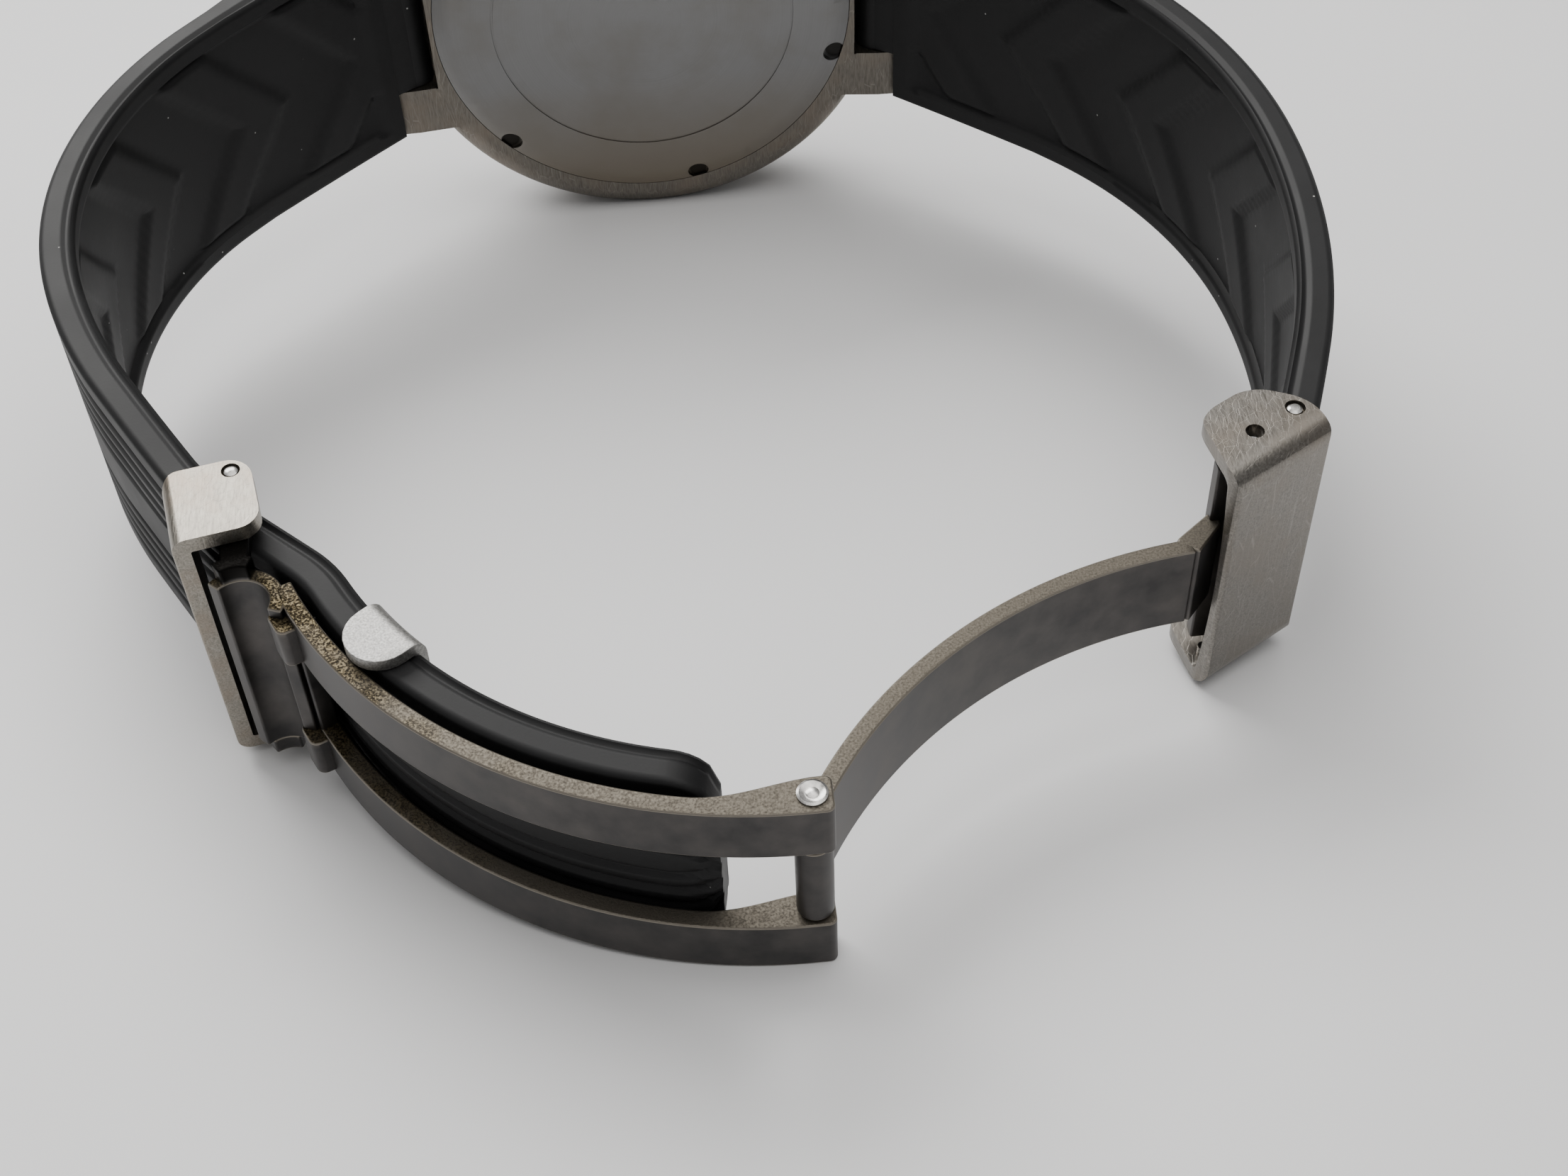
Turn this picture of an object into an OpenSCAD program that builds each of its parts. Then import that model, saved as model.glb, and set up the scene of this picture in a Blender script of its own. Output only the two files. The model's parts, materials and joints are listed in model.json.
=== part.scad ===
// Dive watch with a rubber strap and a folding clasp, standing open on its side.
// The watch frame has +Y along the case axis towards the dial, +X towards the short strap half
// and +Z towards the crown. stand() then leans the whole watch onto the surface it rests on.

/* [Case] */
// Diameter of the case middle
case_d = 42; // [41:0.5:46]
// Height of the case middle above the back's outer face
case_h = 8.7; // [8.5:0.1:9.5]
// Diameter of the screwed case back
back_d = 36.4; // [34.5:0.2:36.8]
// Thickness of the case back's disc
back_t = 1.5; // [1.3:0.1:1.7]
// Notches for the case opener
back_notches = 6; // [4:1:8]
// Width over a pair of lugs
lug_span = 20.8; // [18.5:0.2:24]
// Gap between two lugs, which the strap's tongue fills
lug_gap = 11.8; // [9:0.2:14]
// Distance between the lug tips of the two strap halves
lug_to_lug = 46.6; // [46:0.2:52]

/* [Bezel and crystal] */
// Outer diameter of the turning bezel
bezel_d = 41.6; // [40:0.2:46]
// Height of the bezel
bezel_h = 3.1; // [2.8:0.1:4]
// Grip scallops round the bezel
bezel_grips = 60; // [30:6:90]
// Diameter of the crystal
crystal_d = 32.5; // [31.5:0.1:32.6]
// Thickness of the crystal
crystal_t = 2.4; // [2:0.1:3]

/* [Crown] */
// Diameter of the crown
crown_d = 6.6; // [5:0.2:8]
// Length of the crown's head
crown_l = 3.8; // [3:0.1:5]
// Travel of the crown from screwed down to hand setting
crown_travel = 1.8; // [1:0.1:2]

/* [Strap] */
// Thickness of the strap
strap_t = 2.6; // [2.2:0.1:2.8]
// Thickness of the strap where it meets the lugs
strap_root_t = 4.4; // [3.4:0.2:5]
// Width of the strap at the lugs
strap_w = 20.8; // [18.5:0.2:24]
// Width of the strap where it reaches the clasp
strap_end_w = 18.9; // [17.5:0.1:18.9]
// Width of the tail that runs through the buckle
tail_w = 16.8; // [15:0.2:17]

/* [Clasp] */
// Width over the clasp's side walls
clasp_w = 21.5; // [21.4:0.1:24]
// Thickness of the clasp's sheet walls
wall_t = 1.15; // [0.9:0.05:1.15]
// Width over the two rails of the front blade
rail_span = 16.4; // [14:0.2:16.6]
// Width of the slot between the rails
slot_w = 7.7; // [6:0.1:9]
// Thickness of both blades
blade_t = 1.25; // [0.9:0.05:1.3]
// Outer radius of the curve that both blades share
blade_r = 35; // [34.5:0.1:35.5]
// Radius of the hinge, lock and pivot bars
bar_r = 0.75; // [0.6:0.05:0.8]
// Angle of the open fold, counted from the folded clasp
fold_open = 245.6; // [200:0.2:250]
// Place of the keeper on the tail, in degrees along the blade's curve
keeper_at = 217.5; // [214:0.5:236]

/* [Hidden] */
$fn = 96;
run = 0.05;           // radial clearance of a turning fit
gap = 0.2;            // clearance between neighbours that move apart
eps = 0.01;

// --- heights above the back's outer face, from the back to the crystal
case_r = case_d / 2;
thread_top = back_t + 1.6;
cavity_r = 15.6;
rotor_z = back_t + 0.4;
bridge_z = thread_top + 0.2;
bridge_t = 1.0;
train_z = bridge_z + bridge_t + 0.1;
plate_z = train_z + 1.3;
plate_t = 1.5;
movement_r = 12.8;
motion_z = plate_z + plate_t + 0.05;
dial_z = motion_z + 0.42;
dial_t = 0.4;
hand_z = dial_z + dial_t + 0.25;
rehaut_z = dial_z + dial_t + 0.05;
ledge_z = rehaut_z + 0.85;
ledge_t = 0.6;
seat_z = ledge_z + ledge_t;
seat_r = crystal_d / 2 + 0.35;
neck_r = max(seat_r, cavity_r) + 0.7;
neck_top = seat_z + 1.4;
bezel_z = case_h + 0.1;
lug_in = lug_gap / 2;
lug_out = lug_span / 2;
lug_tip = lug_to_lug / 2;
lug_bar_x = lug_tip - 2.3;
lug_bar_z = 3.0;
stem_z = plate_z + plate_t / 2;
tube_r = 1.55;        // outer radius of the crown's tube

// --- places in the clasp's plan, seen along the strap's width
blade_c = [5.2, -56.3];
hinge_in = 1.35;
hinge = blade_c - [0, blade_r - hinge_in];
blade_in = blade_r - blade_t;
eye_r = 1.3;
rail_in = slot_w / 2;
rail_out = rail_span / 2;
blade_start = 205.5;
knuckle_r = 1.25;
pivot_polar = 203.2;
pivot_out = 2.26;     // height of the cover's pivot above the blade
pivot_folded = blade_c + (blade_r + pivot_out) * [cos(pivot_polar), sin(pivot_polar)];
pivot = hinge + turned(pivot_folded - hinge, fold_open);
clasp_half = clasp_w / 2;
inner_half = clasp_half - wall_t;
tail_half = tail_w / 2;
end_half = strap_end_w / 2;
arm_in = tail_half + 0.08;
arm_out = inner_half - 0.1;
cover_turn = 30.7;
cover_pivot_at = [3.7, 2.69];
cover_strap_at = [7.28, 2.66];
strap_pin = pivot + turned(cover_strap_at - cover_pivot_at, cover_turn);
lock_bar = [-29.6, -61.7];
buckle_corner = [-34.3, -61.7];
buckle_turn = -78.9;
buckle_len = 6.2;
buckle_depth = 5.9;
tail_r = blade_in - gap - strap_t / 2;
ear_h = 1.1;

// --- the strap's middle line: [length, turn] steps from the lug outwards
long_start = [-(lug_tip + 0.3), 1.4];
long_heading = 224.6;
long_run = [[17.5, 2], [31, 58], [12, 15.5], [10, 1], [2.5, 15], [9.4, 0], [3.2, -19]];
tail_turn = 53;
short_start = [lug_tip + 0.3, 1.4];
short_heading = -44.6;
short_run = [[17, -2], [26, -38], [24, -26], [7.4, -2]];

// --- how the open watch leans on the surface: on the case's edge and on the front blade
case_edge_y = 1.6;
blade_front_y = blade_c[1] - blade_r;
lean = atan((case_r - rail_out) / (case_edge_y - blade_front_y));
lift = case_r * cos(lean) - case_edge_y * sin(lean);
front_y = seat_z + crystal_t;
back_reach = blade_front_y * cos(lean) - rail_out * sin(lean);
front_reach = front_y * cos(lean) + seat_r * sin(lean);
mid_y = -(back_reach + front_reach) / 2;
mid_x = -0.85;        // brings the middle of the footprint over the origin

function turned(v, a) = [v[0] * cos(a) - v[1] * sin(a), v[0] * sin(a) + v[1] * cos(a)];
function unit(a) = [cos(a), sin(a)];

// Stands the watch on its side at its resting lean, centred over the origin.
module stand() {
    translate([mid_x, mid_y, lift]) rotate([lean, 0, 0]) children();
}

// Turns a piece built along +Z from the back's outer face so that it lies along the case axis.
module on_case_axis() {
    rotate([-90, 0, 0]) children();
}

module tube(outer, inner, h) {
    difference() {
        cylinder(r = outer, h = h);
        translate([0, 0, -1]) cylinder(r = inner, h = h + 2);
    }
}

// Extrudes a plan shape along the strap's width between two heights, on both sides of the middle.
module both_sides(low, high) {
    for (side = [0, 1]) mirror([0, 0, side]) translate([0, 0, low]) linear_extrude(high - low) children();
}

module full_width(half) {
    translate([0, 0, -half]) linear_extrude(2 * half) children();
}

// A ring segment in plan about a centre, between two radii and two angles.
module sector(c, r_in, r_out, from, to, steps = 24) {
    polygon(concat(
        [for (i = [0:steps]) c + r_out * unit(from + (to - from) * i / steps)],
        [for (i = [steps:-1:0]) c + r_in * unit(from + (to - from) * i / steps)]));
}

// ---------------------------------------------------------------- gears

// Outline of a gear with plain trapezoid teeth; phase turns it by a share of one pitch.
module gear_2d(teeth, module_mm, phase = 0) {
    pitch = 360 / teeth;
    tip = module_mm * (teeth / 2 + 0.85);
    root = module_mm * (teeth / 2 - 1.15);
    shape = [[-0.30, root], [-0.11, tip], [0.11, tip], [0.30, root]];
    polygon([for (i = [0:teeth - 1]) for (p = shape) p[1] * unit((i + p[0] + phase) * pitch)]);
}

module wheel(teeth, module_mm, t, hub_r, arbor_r, phase = 0, spokes = 5) {
    rim = module_mm * (teeth / 2 - 1.15) - 0.35;
    linear_extrude(t) difference() {
        gear_2d(teeth, module_mm, phase);
        if (rim - hub_r > 0.8)
            for (i = [0:spokes - 1]) sector([0, 0], hub_r + 0.25, rim, (i + 0.14) * 360 / spokes,
                (i + 0.86) * 360 / spokes, 8);
        circle(r = arbor_r);
    }
}

center_module = 0.1;
center_teeth = 80;
third_leaves = 10;
third_teeth = 75;
seconds_leaves = 10;
seconds_teeth = 84;
escape_leaves = 7;
escape_teeth = 20;
barrel_teeth = 84;
center_leaves = 12;
cannon_leaves = 12;
minute_teeth = 36;
minute_leaves = 10;
hour_teeth = 40;
barrel_module = 0.12;
escape_module = 0.11;
third_dist = center_module * (center_teeth + third_leaves) / 2;
third_module = 2 * third_dist / (third_teeth + seconds_leaves);
escape_dist = escape_module * (seconds_teeth + escape_leaves) / 2;
barrel_dist = barrel_module * (barrel_teeth + center_leaves) / 2;
minute_module = 0.1;
minute_dist = minute_module * (cannon_leaves + minute_teeth) / 2;
hour_module = 2 * minute_dist / (hour_teeth + minute_leaves);

barrel_at = barrel_dist * unit(200);
third_dir = 322;
third_at = third_dist * unit(third_dir);
escape_at = escape_dist * unit(20);
pallet_at = escape_at + 2.15 * unit(75);
balance_at = pallet_at + 2.55 * unit(78);
minute_at = minute_dist * unit(120);
balance_r = 3.3;
barrel_r = 4.55;
escape_r = 1.55;

// Half a pitch, so that a tooth meets a gap on the line of centres at angle a.
function mesh_phase(teeth, a) = a * teeth / 360;
function meet_phase(teeth, a) = 0.5 + (a + 180) * teeth / 360;

// ---------------------------------------------------------------- case

module lug_profile() {
    polygon([[14, case_h - 0.2], [lug_tip - 4, case_h - 0.4], [lug_tip - 1.2, 6.6], [lug_tip - 0.2, 5.2],
        [lug_tip, 4.2], [lug_tip, 1.3], [lug_tip - 0.6, 0.5], [lug_tip - 2.5, 0.55], [14, 1.4]]);
}

module case_middle() {
    color("silver") difference() {
        union() {
            rotate_extrude() polygon([[16, 0.5], [back_d / 2 + 0.9, 0.5], [case_r - 0.5, 1.1],
                [case_r, case_edge_y], [case_r, case_h - 0.6], [case_r - 0.6, case_h], [neck_r, case_h],
                [neck_r, neck_top], [14, neck_top], [14, 3]]);
            for (end = [-1, 1], side = [-1, 1])
                translate([0, side * (lug_in + lug_out) / 2, 0]) scale([end, 1, 1]) rotate([90, 0, 0])
                    linear_extrude(lug_out - lug_in, center = true) lug_profile();
            // shoulders that guard the crown
            intersection() {
                translate([0, 0, 2.6]) cylinder(r = case_r + 2.1, h = case_h - 3.4);
                for (side = [-1, 1]) translate([side * (crown_d / 2 + 2.1) - 1.7, -case_r - 5, 2])
                    cube([3.4, 9, case_h - 3]);
            }
        }
        // thread for the back, movement bore, ledge and crystal seat
        translate([0, 0, -1]) cylinder(r = back_d / 2 - 0.45, h = thread_top + 1);
        translate([0, 0, -1]) cylinder(r = back_d / 2 + run, h = back_t + 1);
        translate([0, 0, 1]) cylinder(r = cavity_r, h = ledge_z - 1);
        cylinder(r = 14.9, h = 20);
        translate([0, 0, seat_z]) cylinder(r = seat_r, h = 5);
        // room between the lugs for the strap's tongue
        for (end = [-1, 1]) scale([end, 1, 1]) translate([back_d / 2 + 0.45, -lug_in, -1])
            cube([10, 2 * lug_in, case_h - 0.6]);
        // holes for the strap's spring bars, the crown tube and the click spring's groove
        for (end = [-1, 1]) translate([end * lug_bar_x, 0, lug_bar_z]) rotate([90, 0, 0])
            cylinder(r = 0.45, h = lug_out * 2 - 2.4, center = true);
        translate([0, -cavity_r + 1, stem_z]) rotate([90, 0, 0])
            cylinder(r = tube_r + 0.05, h = case_r - cavity_r + 4.6);
        translate([0, 0, case_h - 0.35]) tube(neck_r + 1.3, neck_r + 0.3, 2);
    }
}

module case_back() {
    thread_r = back_d / 2 - 0.5;
    color("gainsboro") difference() {
        rotate_extrude() polygon([[0, 0], [back_d / 2 - 1.6, 0], [back_d / 2, 0.5],
            [back_d / 2, back_t], [thread_r, back_t], [thread_r, thread_top - 0.1],
            [thread_r - 1.1, thread_top - 0.1], [thread_r - 1.1, back_t], [0, back_t]]);
        for (i = [0:back_notches - 1]) rotate(17 + i * 360 / back_notches)
            translate([back_d / 2 - 0.7, 0, -0.5]) cylinder(r = 0.95, h = 1.3);
        translate([0, 0, -0.5]) tube(13.2, 13.0, 0.6);
    }
}

module back_gasket() {
    color("black") translate([0, 0, back_t + 0.35]) rotate_extrude() translate([back_d / 2 - 2.0, 0])
        circle(r = 0.33, $fn = 24);
}

module crystal() {
    color("lightblue", 0.5) rotate_extrude() polygon([[0, seat_z], [crystal_d / 2, seat_z],
        [crystal_d / 2, seat_z + crystal_t - 0.5], [crystal_d / 2 - 0.5, seat_z + crystal_t],
        [0, seat_z + crystal_t]]);
}

module crystal_gasket() {
    color("white") translate([0, 0, seat_z]) tube(seat_r - 0.02, crystal_d / 2 + 0.02, 1.3);
}

module rehaut_ring() {
    color("black") rotate_extrude() polygon([[cavity_r - 0.1, rehaut_z], [13.9, rehaut_z],
        [14.6, ledge_z - 0.05], [cavity_r - 0.1, ledge_z - 0.05]]);
}

module dial() {
    color("midnightblue") translate([0, 0, dial_z]) tube(cavity_r - 0.2, 0.95, dial_t);
}

module dial_markers() {
    color("white") translate([0, 0, dial_z + dial_t]) for (i = [0:11]) rotate(i * 30)
        if (i % 3 == 0) translate([10.2, -0.55, 0]) cube([2.8, 1.1, 0.22]);
        else translate([12, 0, 0]) cylinder(r = 0.8, h = 0.22);
}

// ---------------------------------------------------------------- movement

module movement_ring() {
    color("silver") difference() {
        translate([0, 0, bridge_z]) tube(cavity_r - 0.05, movement_r + 0.05, plate_z + plate_t - bridge_z);
        translate([0, -10, stem_z]) rotate([90, 0, 0]) cylinder(r = 1.65, h = 10);
    }
}

module mainplate() {
    color("gold") difference() {
        translate([0, 0, plate_z]) cylinder(r = movement_r, h = plate_t);
        translate([0, 0, plate_z - 1]) cylinder(r = 0.62, h = 4);
        for (p = [third_at, escape_at, pallet_at, balance_at, barrel_at])
            translate([p[0], p[1], plate_z - 1]) cylinder(r = 0.16, h = 1.4);
        translate([0, -9, stem_z]) rotate([90, 0, 0]) cylinder(r = 0.6, h = 6);
        translate([minute_at[0], minute_at[1], motion_z - 0.5]) cylinder(r = 0.16, h = 1);
    }
    // pillars that carry the bridges
    color("gold") for (p = bridge_posts) translate([p[0], p[1], bridge_z + bridge_t])
        cylinder(r = 0.8, h = plate_z - bridge_z - bridge_t);
}

bridge_posts = [11.4 * unit(175), 11.4 * unit(228), 11.4 * unit(265), 11.4 * unit(338), 11.6 * unit(18),
    11.6 * unit(82), 11.4 * unit(118)];

module bridge_plan(from, to) {
    sector([0, 0], 0, movement_r - 0.5, from, to, 40);
}

module barrel_bridge() {
    color("silver") translate([0, 0, bridge_z]) linear_extrude(bridge_t) difference() {
        bridge_plan(128, 246);
        circle(r = 3.1);
        translate(barrel_at) circle(r = 0.5);
        for (i = [0, 1]) translate(bridge_posts[i]) circle(r = 0.55);
    }
}

module train_bridge() {
    color("silver") translate([0, 0, bridge_z]) linear_extrude(bridge_t) difference() {
        union() {
            bridge_plan(249, 384);
            circle(r = 2.9);
        }
        circle(r = 0.22);
        translate(balance_at) circle(r = balance_r + 0.5);
        for (p = [third_at, escape_at]) translate(p) circle(r = 0.16);
        for (i = [2, 3]) translate(bridge_posts[i]) circle(r = 0.55);
    }
}

module balance_bridge() {
    color("silver") translate([0, 0, bridge_z]) difference() {
        linear_extrude(0.45) difference() {
            union() {
                translate(balance_at) circle(r = 1.1);
                bar_plan(balance_at, bridge_posts[5], 1.4);
                translate(bridge_posts[5]) circle(r = 0.9);
            }
            translate(balance_at) circle(r = 0.16);
            translate(bridge_posts[5]) circle(r = 0.55);
        }
    }
    color("silver") translate([bridge_posts[5][0], bridge_posts[5][1], bridge_z + 0.45])
        tube(0.9, 0.55, bridge_t - 0.45);
}

// A straight bar in plan between two points.
module bar_plan(a, b, w) {
    d = b - a;
    len = norm(d);
    n = [-d[1], d[0]] * (w / 2 / len);
    polygon([a + n, b + n, b - n, a - n]);
}

module bridge_screws() {
    color("steelblue") for (i = [0, 1, 2, 3, 5]) translate([bridge_posts[i][0], bridge_posts[i][1], 0]) {
        translate([0, 0, bridge_z]) cylinder(r = 0.5, h = bridge_t - 0.02);
        translate([0, 0, bridge_z - 0.22]) cylinder(r = 0.85, h = 0.2);
    }
}

module rotor_bearing() {
    color("silver") translate([0, 0, rotor_z + 0.05]) difference() {
        cylinder(r = 0.9, h = bridge_z - rotor_z - 0.07);
        translate([0, 0, -0.1]) cylinder(r = 0.3, h = 0.5);
    }
}

module rotor() {
    color("silver") translate([0, 0, rotor_z]) difference() {
        union() {
            cylinder(r = 2.0, h = 0.9);
            linear_extrude(0.4) sector([0, 0], 0, 12.2, 200, 340, 40);
            linear_extrude(1.15) sector([0, 0], 10.2, 12.2, 200, 340, 40);
        }
        translate([0, 0, -1]) cylinder(r = 0.9 + run, h = 3);
    }
}

module barrel() {
    color("gold") translate([barrel_at[0], barrel_at[1], 0]) {
        difference() {
            union() {
                translate([0, 0, train_z + 0.2]) cylinder(r = barrel_r, h = 0.55);
                translate([0, 0, train_z + 0.45]) wheel(barrel_teeth, barrel_module, 0.3, 4.4, 0.3,
                    mesh_phase(barrel_teeth, 20));
            }
            translate([0, 0, train_z + 0.3]) cylinder(r = barrel_r - 0.25, h = 0.35);
        }
        translate([0, 0, train_z - 0.06]) cylinder(r = 0.45, h = 0.3);
        translate([0, 0, train_z + 0.74]) cylinder(r = 0.14, h = 0.7);
    }
}

// A flat coiled spring of a given strip width, wound between two radii.
module coil_2d(r_in, r_out, turns, strip) {
    steps = turns * 24;
    step_r = (r_out - r_in) / steps;
    polygon(concat(
        [for (i = [0:steps]) (r_in + step_r * i + strip) * unit(i * 15)],
        [for (i = [steps:-1:0]) (r_in + step_r * i) * unit(i * 15)]));
}

module mainspring() {
    color("steelblue") translate([barrel_at[0], barrel_at[1], train_z + 0.32]) linear_extrude(0.3)
        coil_2d(1.0, barrel_r - 0.5, 6, 0.12);
}

module center_wheel() {
    color("gold") {
        translate([0, 0, train_z + 0.8]) wheel(center_teeth, center_module, 0.2, 0.8, 0.25 + run,
            mesh_phase(center_teeth, third_dir));
        translate([0, 0, train_z + 0.45]) linear_extrude(0.36) difference() {
            gear_2d(center_leaves, barrel_module, meet_phase(center_leaves, 20));
            circle(r = 0.25 + run);
        }
        translate([0, 0, train_z + 0.99]) tube(0.5, 0.25 + run, hand_z + 0.4 - train_z - 0.99);
    }
}

module cannon_pinion() {
    color("silver") translate([0, 0, motion_z + 0.01]) linear_extrude(0.16) difference() {
        gear_2d(cannon_leaves, minute_module, mesh_phase(cannon_leaves, 120));
        circle(r = 0.5 + eps);
    }
}

module minute_wheel() {
    color("gold") translate([minute_at[0], minute_at[1], motion_z + 0.02]) {
        wheel(minute_teeth, minute_module, 0.13, 0.5, 0.01, meet_phase(minute_teeth, 120));
        translate([0, 0, 0.12]) linear_extrude(0.18) gear_2d(minute_leaves, hour_module,
            mesh_phase(minute_leaves, 300));
        translate([0, 0, -0.4]) cylinder(r = 0.14, h = 0.41);
    }
}

module hour_wheel() {
    color("gold") {
        translate([0, 0, motion_z + 0.19]) linear_extrude(0.12) difference() {
            gear_2d(hour_teeth, hour_module, meet_phase(hour_teeth, 300));
            circle(r = 0.5 + run);
        }
        translate([0, 0, motion_z + 0.3]) tube(0.78, 0.5 + run, hand_z + 0.12 - motion_z - 0.3);
    }
}

module third_wheel() {
    color("gold") translate([third_at[0], third_at[1], 0]) {
        translate([0, 0, train_z + 0.24]) wheel(third_teeth, third_module, 0.16, 0.6, 0.01,
            meet_phase(third_teeth, third_dir));
        translate([0, 0, train_z + 0.8]) linear_extrude(0.2) gear_2d(third_leaves, center_module,
            meet_phase(third_leaves, third_dir));
        translate([0, 0, train_z - 0.5]) cylinder(r = 0.13, h = 2.1);
    }
}

module seconds_wheel() {
    color("gold") {
        translate([0, 0, train_z + 0.02]) wheel(seconds_teeth, escape_module, 0.16, 0.7, 0.01,
            mesh_phase(seconds_teeth, 20));
        translate([0, 0, train_z + 0.17]) linear_extrude(0.24) gear_2d(seconds_leaves, third_module,
            mesh_phase(seconds_leaves, third_dir));
        translate([0, 0, bridge_z + 0.4]) cylinder(r = 0.19, h = hand_z + 0.75 - bridge_z - 0.4);
    }
}

module escape_wheel() {
    color("silver") translate([escape_at[0], escape_at[1], 0]) {
        translate([0, 0, train_z + 0.5]) linear_extrude(0.12) polygon([for (i = [0:escape_teeth - 1])
            for (p = [[0, escape_r - 0.35], [0.12, escape_r], [0.3, escape_r], [0.75, escape_r - 0.35]])
                p[1] * unit((i + p[0]) * 360 / escape_teeth)]);
        translate([0, 0, train_z + 0.01]) linear_extrude(0.5) gear_2d(escape_leaves, escape_module,
            meet_phase(escape_leaves, 20));
        translate([0, 0, train_z - 0.5]) cylinder(r = 0.13, h = 2.1);
    }
}

module pallet_fork() {
    arm = 1.0;
    color("silver") translate([pallet_at[0], pallet_at[1], 0]) {
        translate([0, 0, train_z + 0.66]) linear_extrude(0.12) union() {
            circle(r = 0.32);
            bar_plan([0, 0], 1.5 * unit(78), 0.3);
            for (side = [-1, 1]) bar_plan([0, 0], arm * unit(255 + side * 62), 0.28);
        }
        for (side = [-1, 1]) translate([0, 0, train_z + 0.46]) linear_extrude(0.21)
            translate(arm * unit(255 + side * 62)) square(0.22, center = true);
        translate([0, 0, train_z + 0.5]) cylinder(r = 0.13, h = 1.1);
    }
}

module balance_wheel() {
    color("gold") translate([balance_at[0], balance_at[1], 0]) {
        translate([0, 0, bridge_z + 0.65]) linear_extrude(0.3) union() {
            difference() {
                circle(r = balance_r);
                circle(r = balance_r - 0.5);
            }
            circle(r = 0.5);
            for (a = [0, 90]) rotate(a) square([2 * balance_r - 0.6, 0.35], center = true);
        }
        translate([0, 0, bridge_z + 0.05]) cylinder(r = 0.13, h = 2.7);
    }
}

module hairspring() {
    color("steelblue") translate([balance_at[0], balance_at[1], bridge_z + 0.5]) linear_extrude(0.1)
        coil_2d(0.3, 2.2, 7, 0.07);
}

// ---------------------------------------------------------------- hands

module hand_2d(length, width, hub, hole) {
    difference() {
        union() {
            circle(r = hub);
            polygon([[0, -width / 2], [length * 0.72, -width / 2], [length, 0], [length * 0.72, width / 2],
                [0, width / 2], [-hub - 1.2, width / 4], [-hub - 1.2, -width / 4]]);
        }
        circle(r = hole);
    }
}

module hour_hand() {
    color("white") translate([0, 0, hand_z]) rotate(215) linear_extrude(0.12)
        hand_2d(8.2, 1.9, 1.2, 0.78 + eps);
}

module minute_hand() {
    color("white") translate([0, 0, hand_z + 0.26]) rotate(95) linear_extrude(0.12)
        hand_2d(12.2, 1.5, 0.95, 0.5 + eps);
}

module seconds_hand() {
    color("white") translate([0, 0, hand_z + 0.6]) rotate(330) linear_extrude(0.1) difference() {
        union() {
            circle(r = 0.6);
            translate([-4, -0.15]) square([16.6, 0.3]);
            translate([-3.6, 0]) circle(r = 0.7);
        }
        circle(r = 0.19 + eps);
    }
}

// ---------------------------------------------------------------- crown

// Builds along +Z away from the case centre, on the crown's axis.
module on_crown_axis() {
    translate([0, 0, stem_z]) rotate([90, 0, 0]) children();
}

module crown_tube() {
    color("silver") on_crown_axis() translate([0, 0, cavity_r + 0.1])
        tube(tube_r, 1.0, case_r - cavity_r + 0.5);
}

module crown_gasket() {
    color("black") on_crown_axis() translate([0, 0, case_r + 0.8]) rotate_extrude()
        translate([0.78, 0]) circle(r = 0.17, $fn = 24);
}

module crown() {
    r = crown_d / 2;
    color("silver") on_crown_axis() translate([0, 0, case_r + 0.15]) difference() {
        union() {
            linear_extrude(crown_l - 0.4) difference() {
                circle(r = r);
                for (i = [0:23]) rotate(i * 15) translate([r + 0.12, 0]) circle(r = 0.3, $fn = 12);
            }
            translate([0, 0, crown_l - 0.41]) cylinder(r1 = r - 0.25, r2 = r - 0.6, h = 0.41);
        }
        translate([0, 0, -1]) cylinder(r = tube_r + 0.1, h = 1.9);
        translate([0, 0, -1]) cylinder(r = 0.5 + eps, h = crown_l);
    }
}

module winding_stem() {
    color("silver") on_crown_axis() translate([0, 0, 9.6])
        cylinder(r = 0.5, h = case_r + crown_l - 10.5);
}

// ---------------------------------------------------------------- bezel

module bezel() {
    r = bezel_d / 2;
    color("silver") translate([0, 0, bezel_z]) difference() {
        union() {
            linear_extrude(bezel_h - 0.7) difference() {
                circle(r = r, $fn = 180);
                for (i = [0:bezel_grips - 1]) rotate(i * 360 / bezel_grips)
                    translate([r + 0.35, 0]) circle(r = 0.75, $fn = 24);
            }
            translate([0, 0, bezel_h - 0.71]) cylinder(r1 = r - 0.5, r2 = r - 1.1, h = 0.71);
        }
        translate([0, 0, -1]) cylinder(r = neck_r + run, h = 10);
        translate([0, 0, bezel_h - 0.55]) cylinder(r = r - 1.3, h = 2);
        translate([0, 0, 0.9]) cylinder(r = neck_r + 0.55, h = 0.5);
    }
}

module bezel_insert() {
    color("black") translate([0, 0, bezel_z + bezel_h - 0.54]) tube(bezel_d / 2 - 1.33, neck_r + 0.1, 0.5);
}

module bezel_pip() {
    color("white") translate([neck_r + 1.2, 0, bezel_z + bezel_h - 0.03]) cylinder(r = 0.6, h = 0.25);
}

module bezel_gasket() {
    color("black") translate([0, 0, bezel_z + 1.15]) rotate_extrude() translate([neck_r + 0.32, 0])
        circle(r = 0.22, $fn = 24);
}

module bezel_click_spring() {
    color("silver") translate([0, 0, case_h - 0.3]) linear_extrude(0.18)
        sector([0, 0], neck_r + 0.45, neck_r + 1.15, 8, 350, 48);
}

// ---------------------------------------------------------------- strap

module spring_bar(end) {
    translate([end * lug_bar_x, lug_bar_z, 0]) {
        cylinder(r = bar_r, h = 2 * lug_in - 0.3, center = true);
        cylinder(r = 0.4, h = lug_out * 2 - 2.6, center = true);
    }
}

module lug_bar_long() {
    color("silver") spring_bar(-1);
}

module lug_bar_short() {
    color("silver") spring_bar(1);
}

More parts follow.
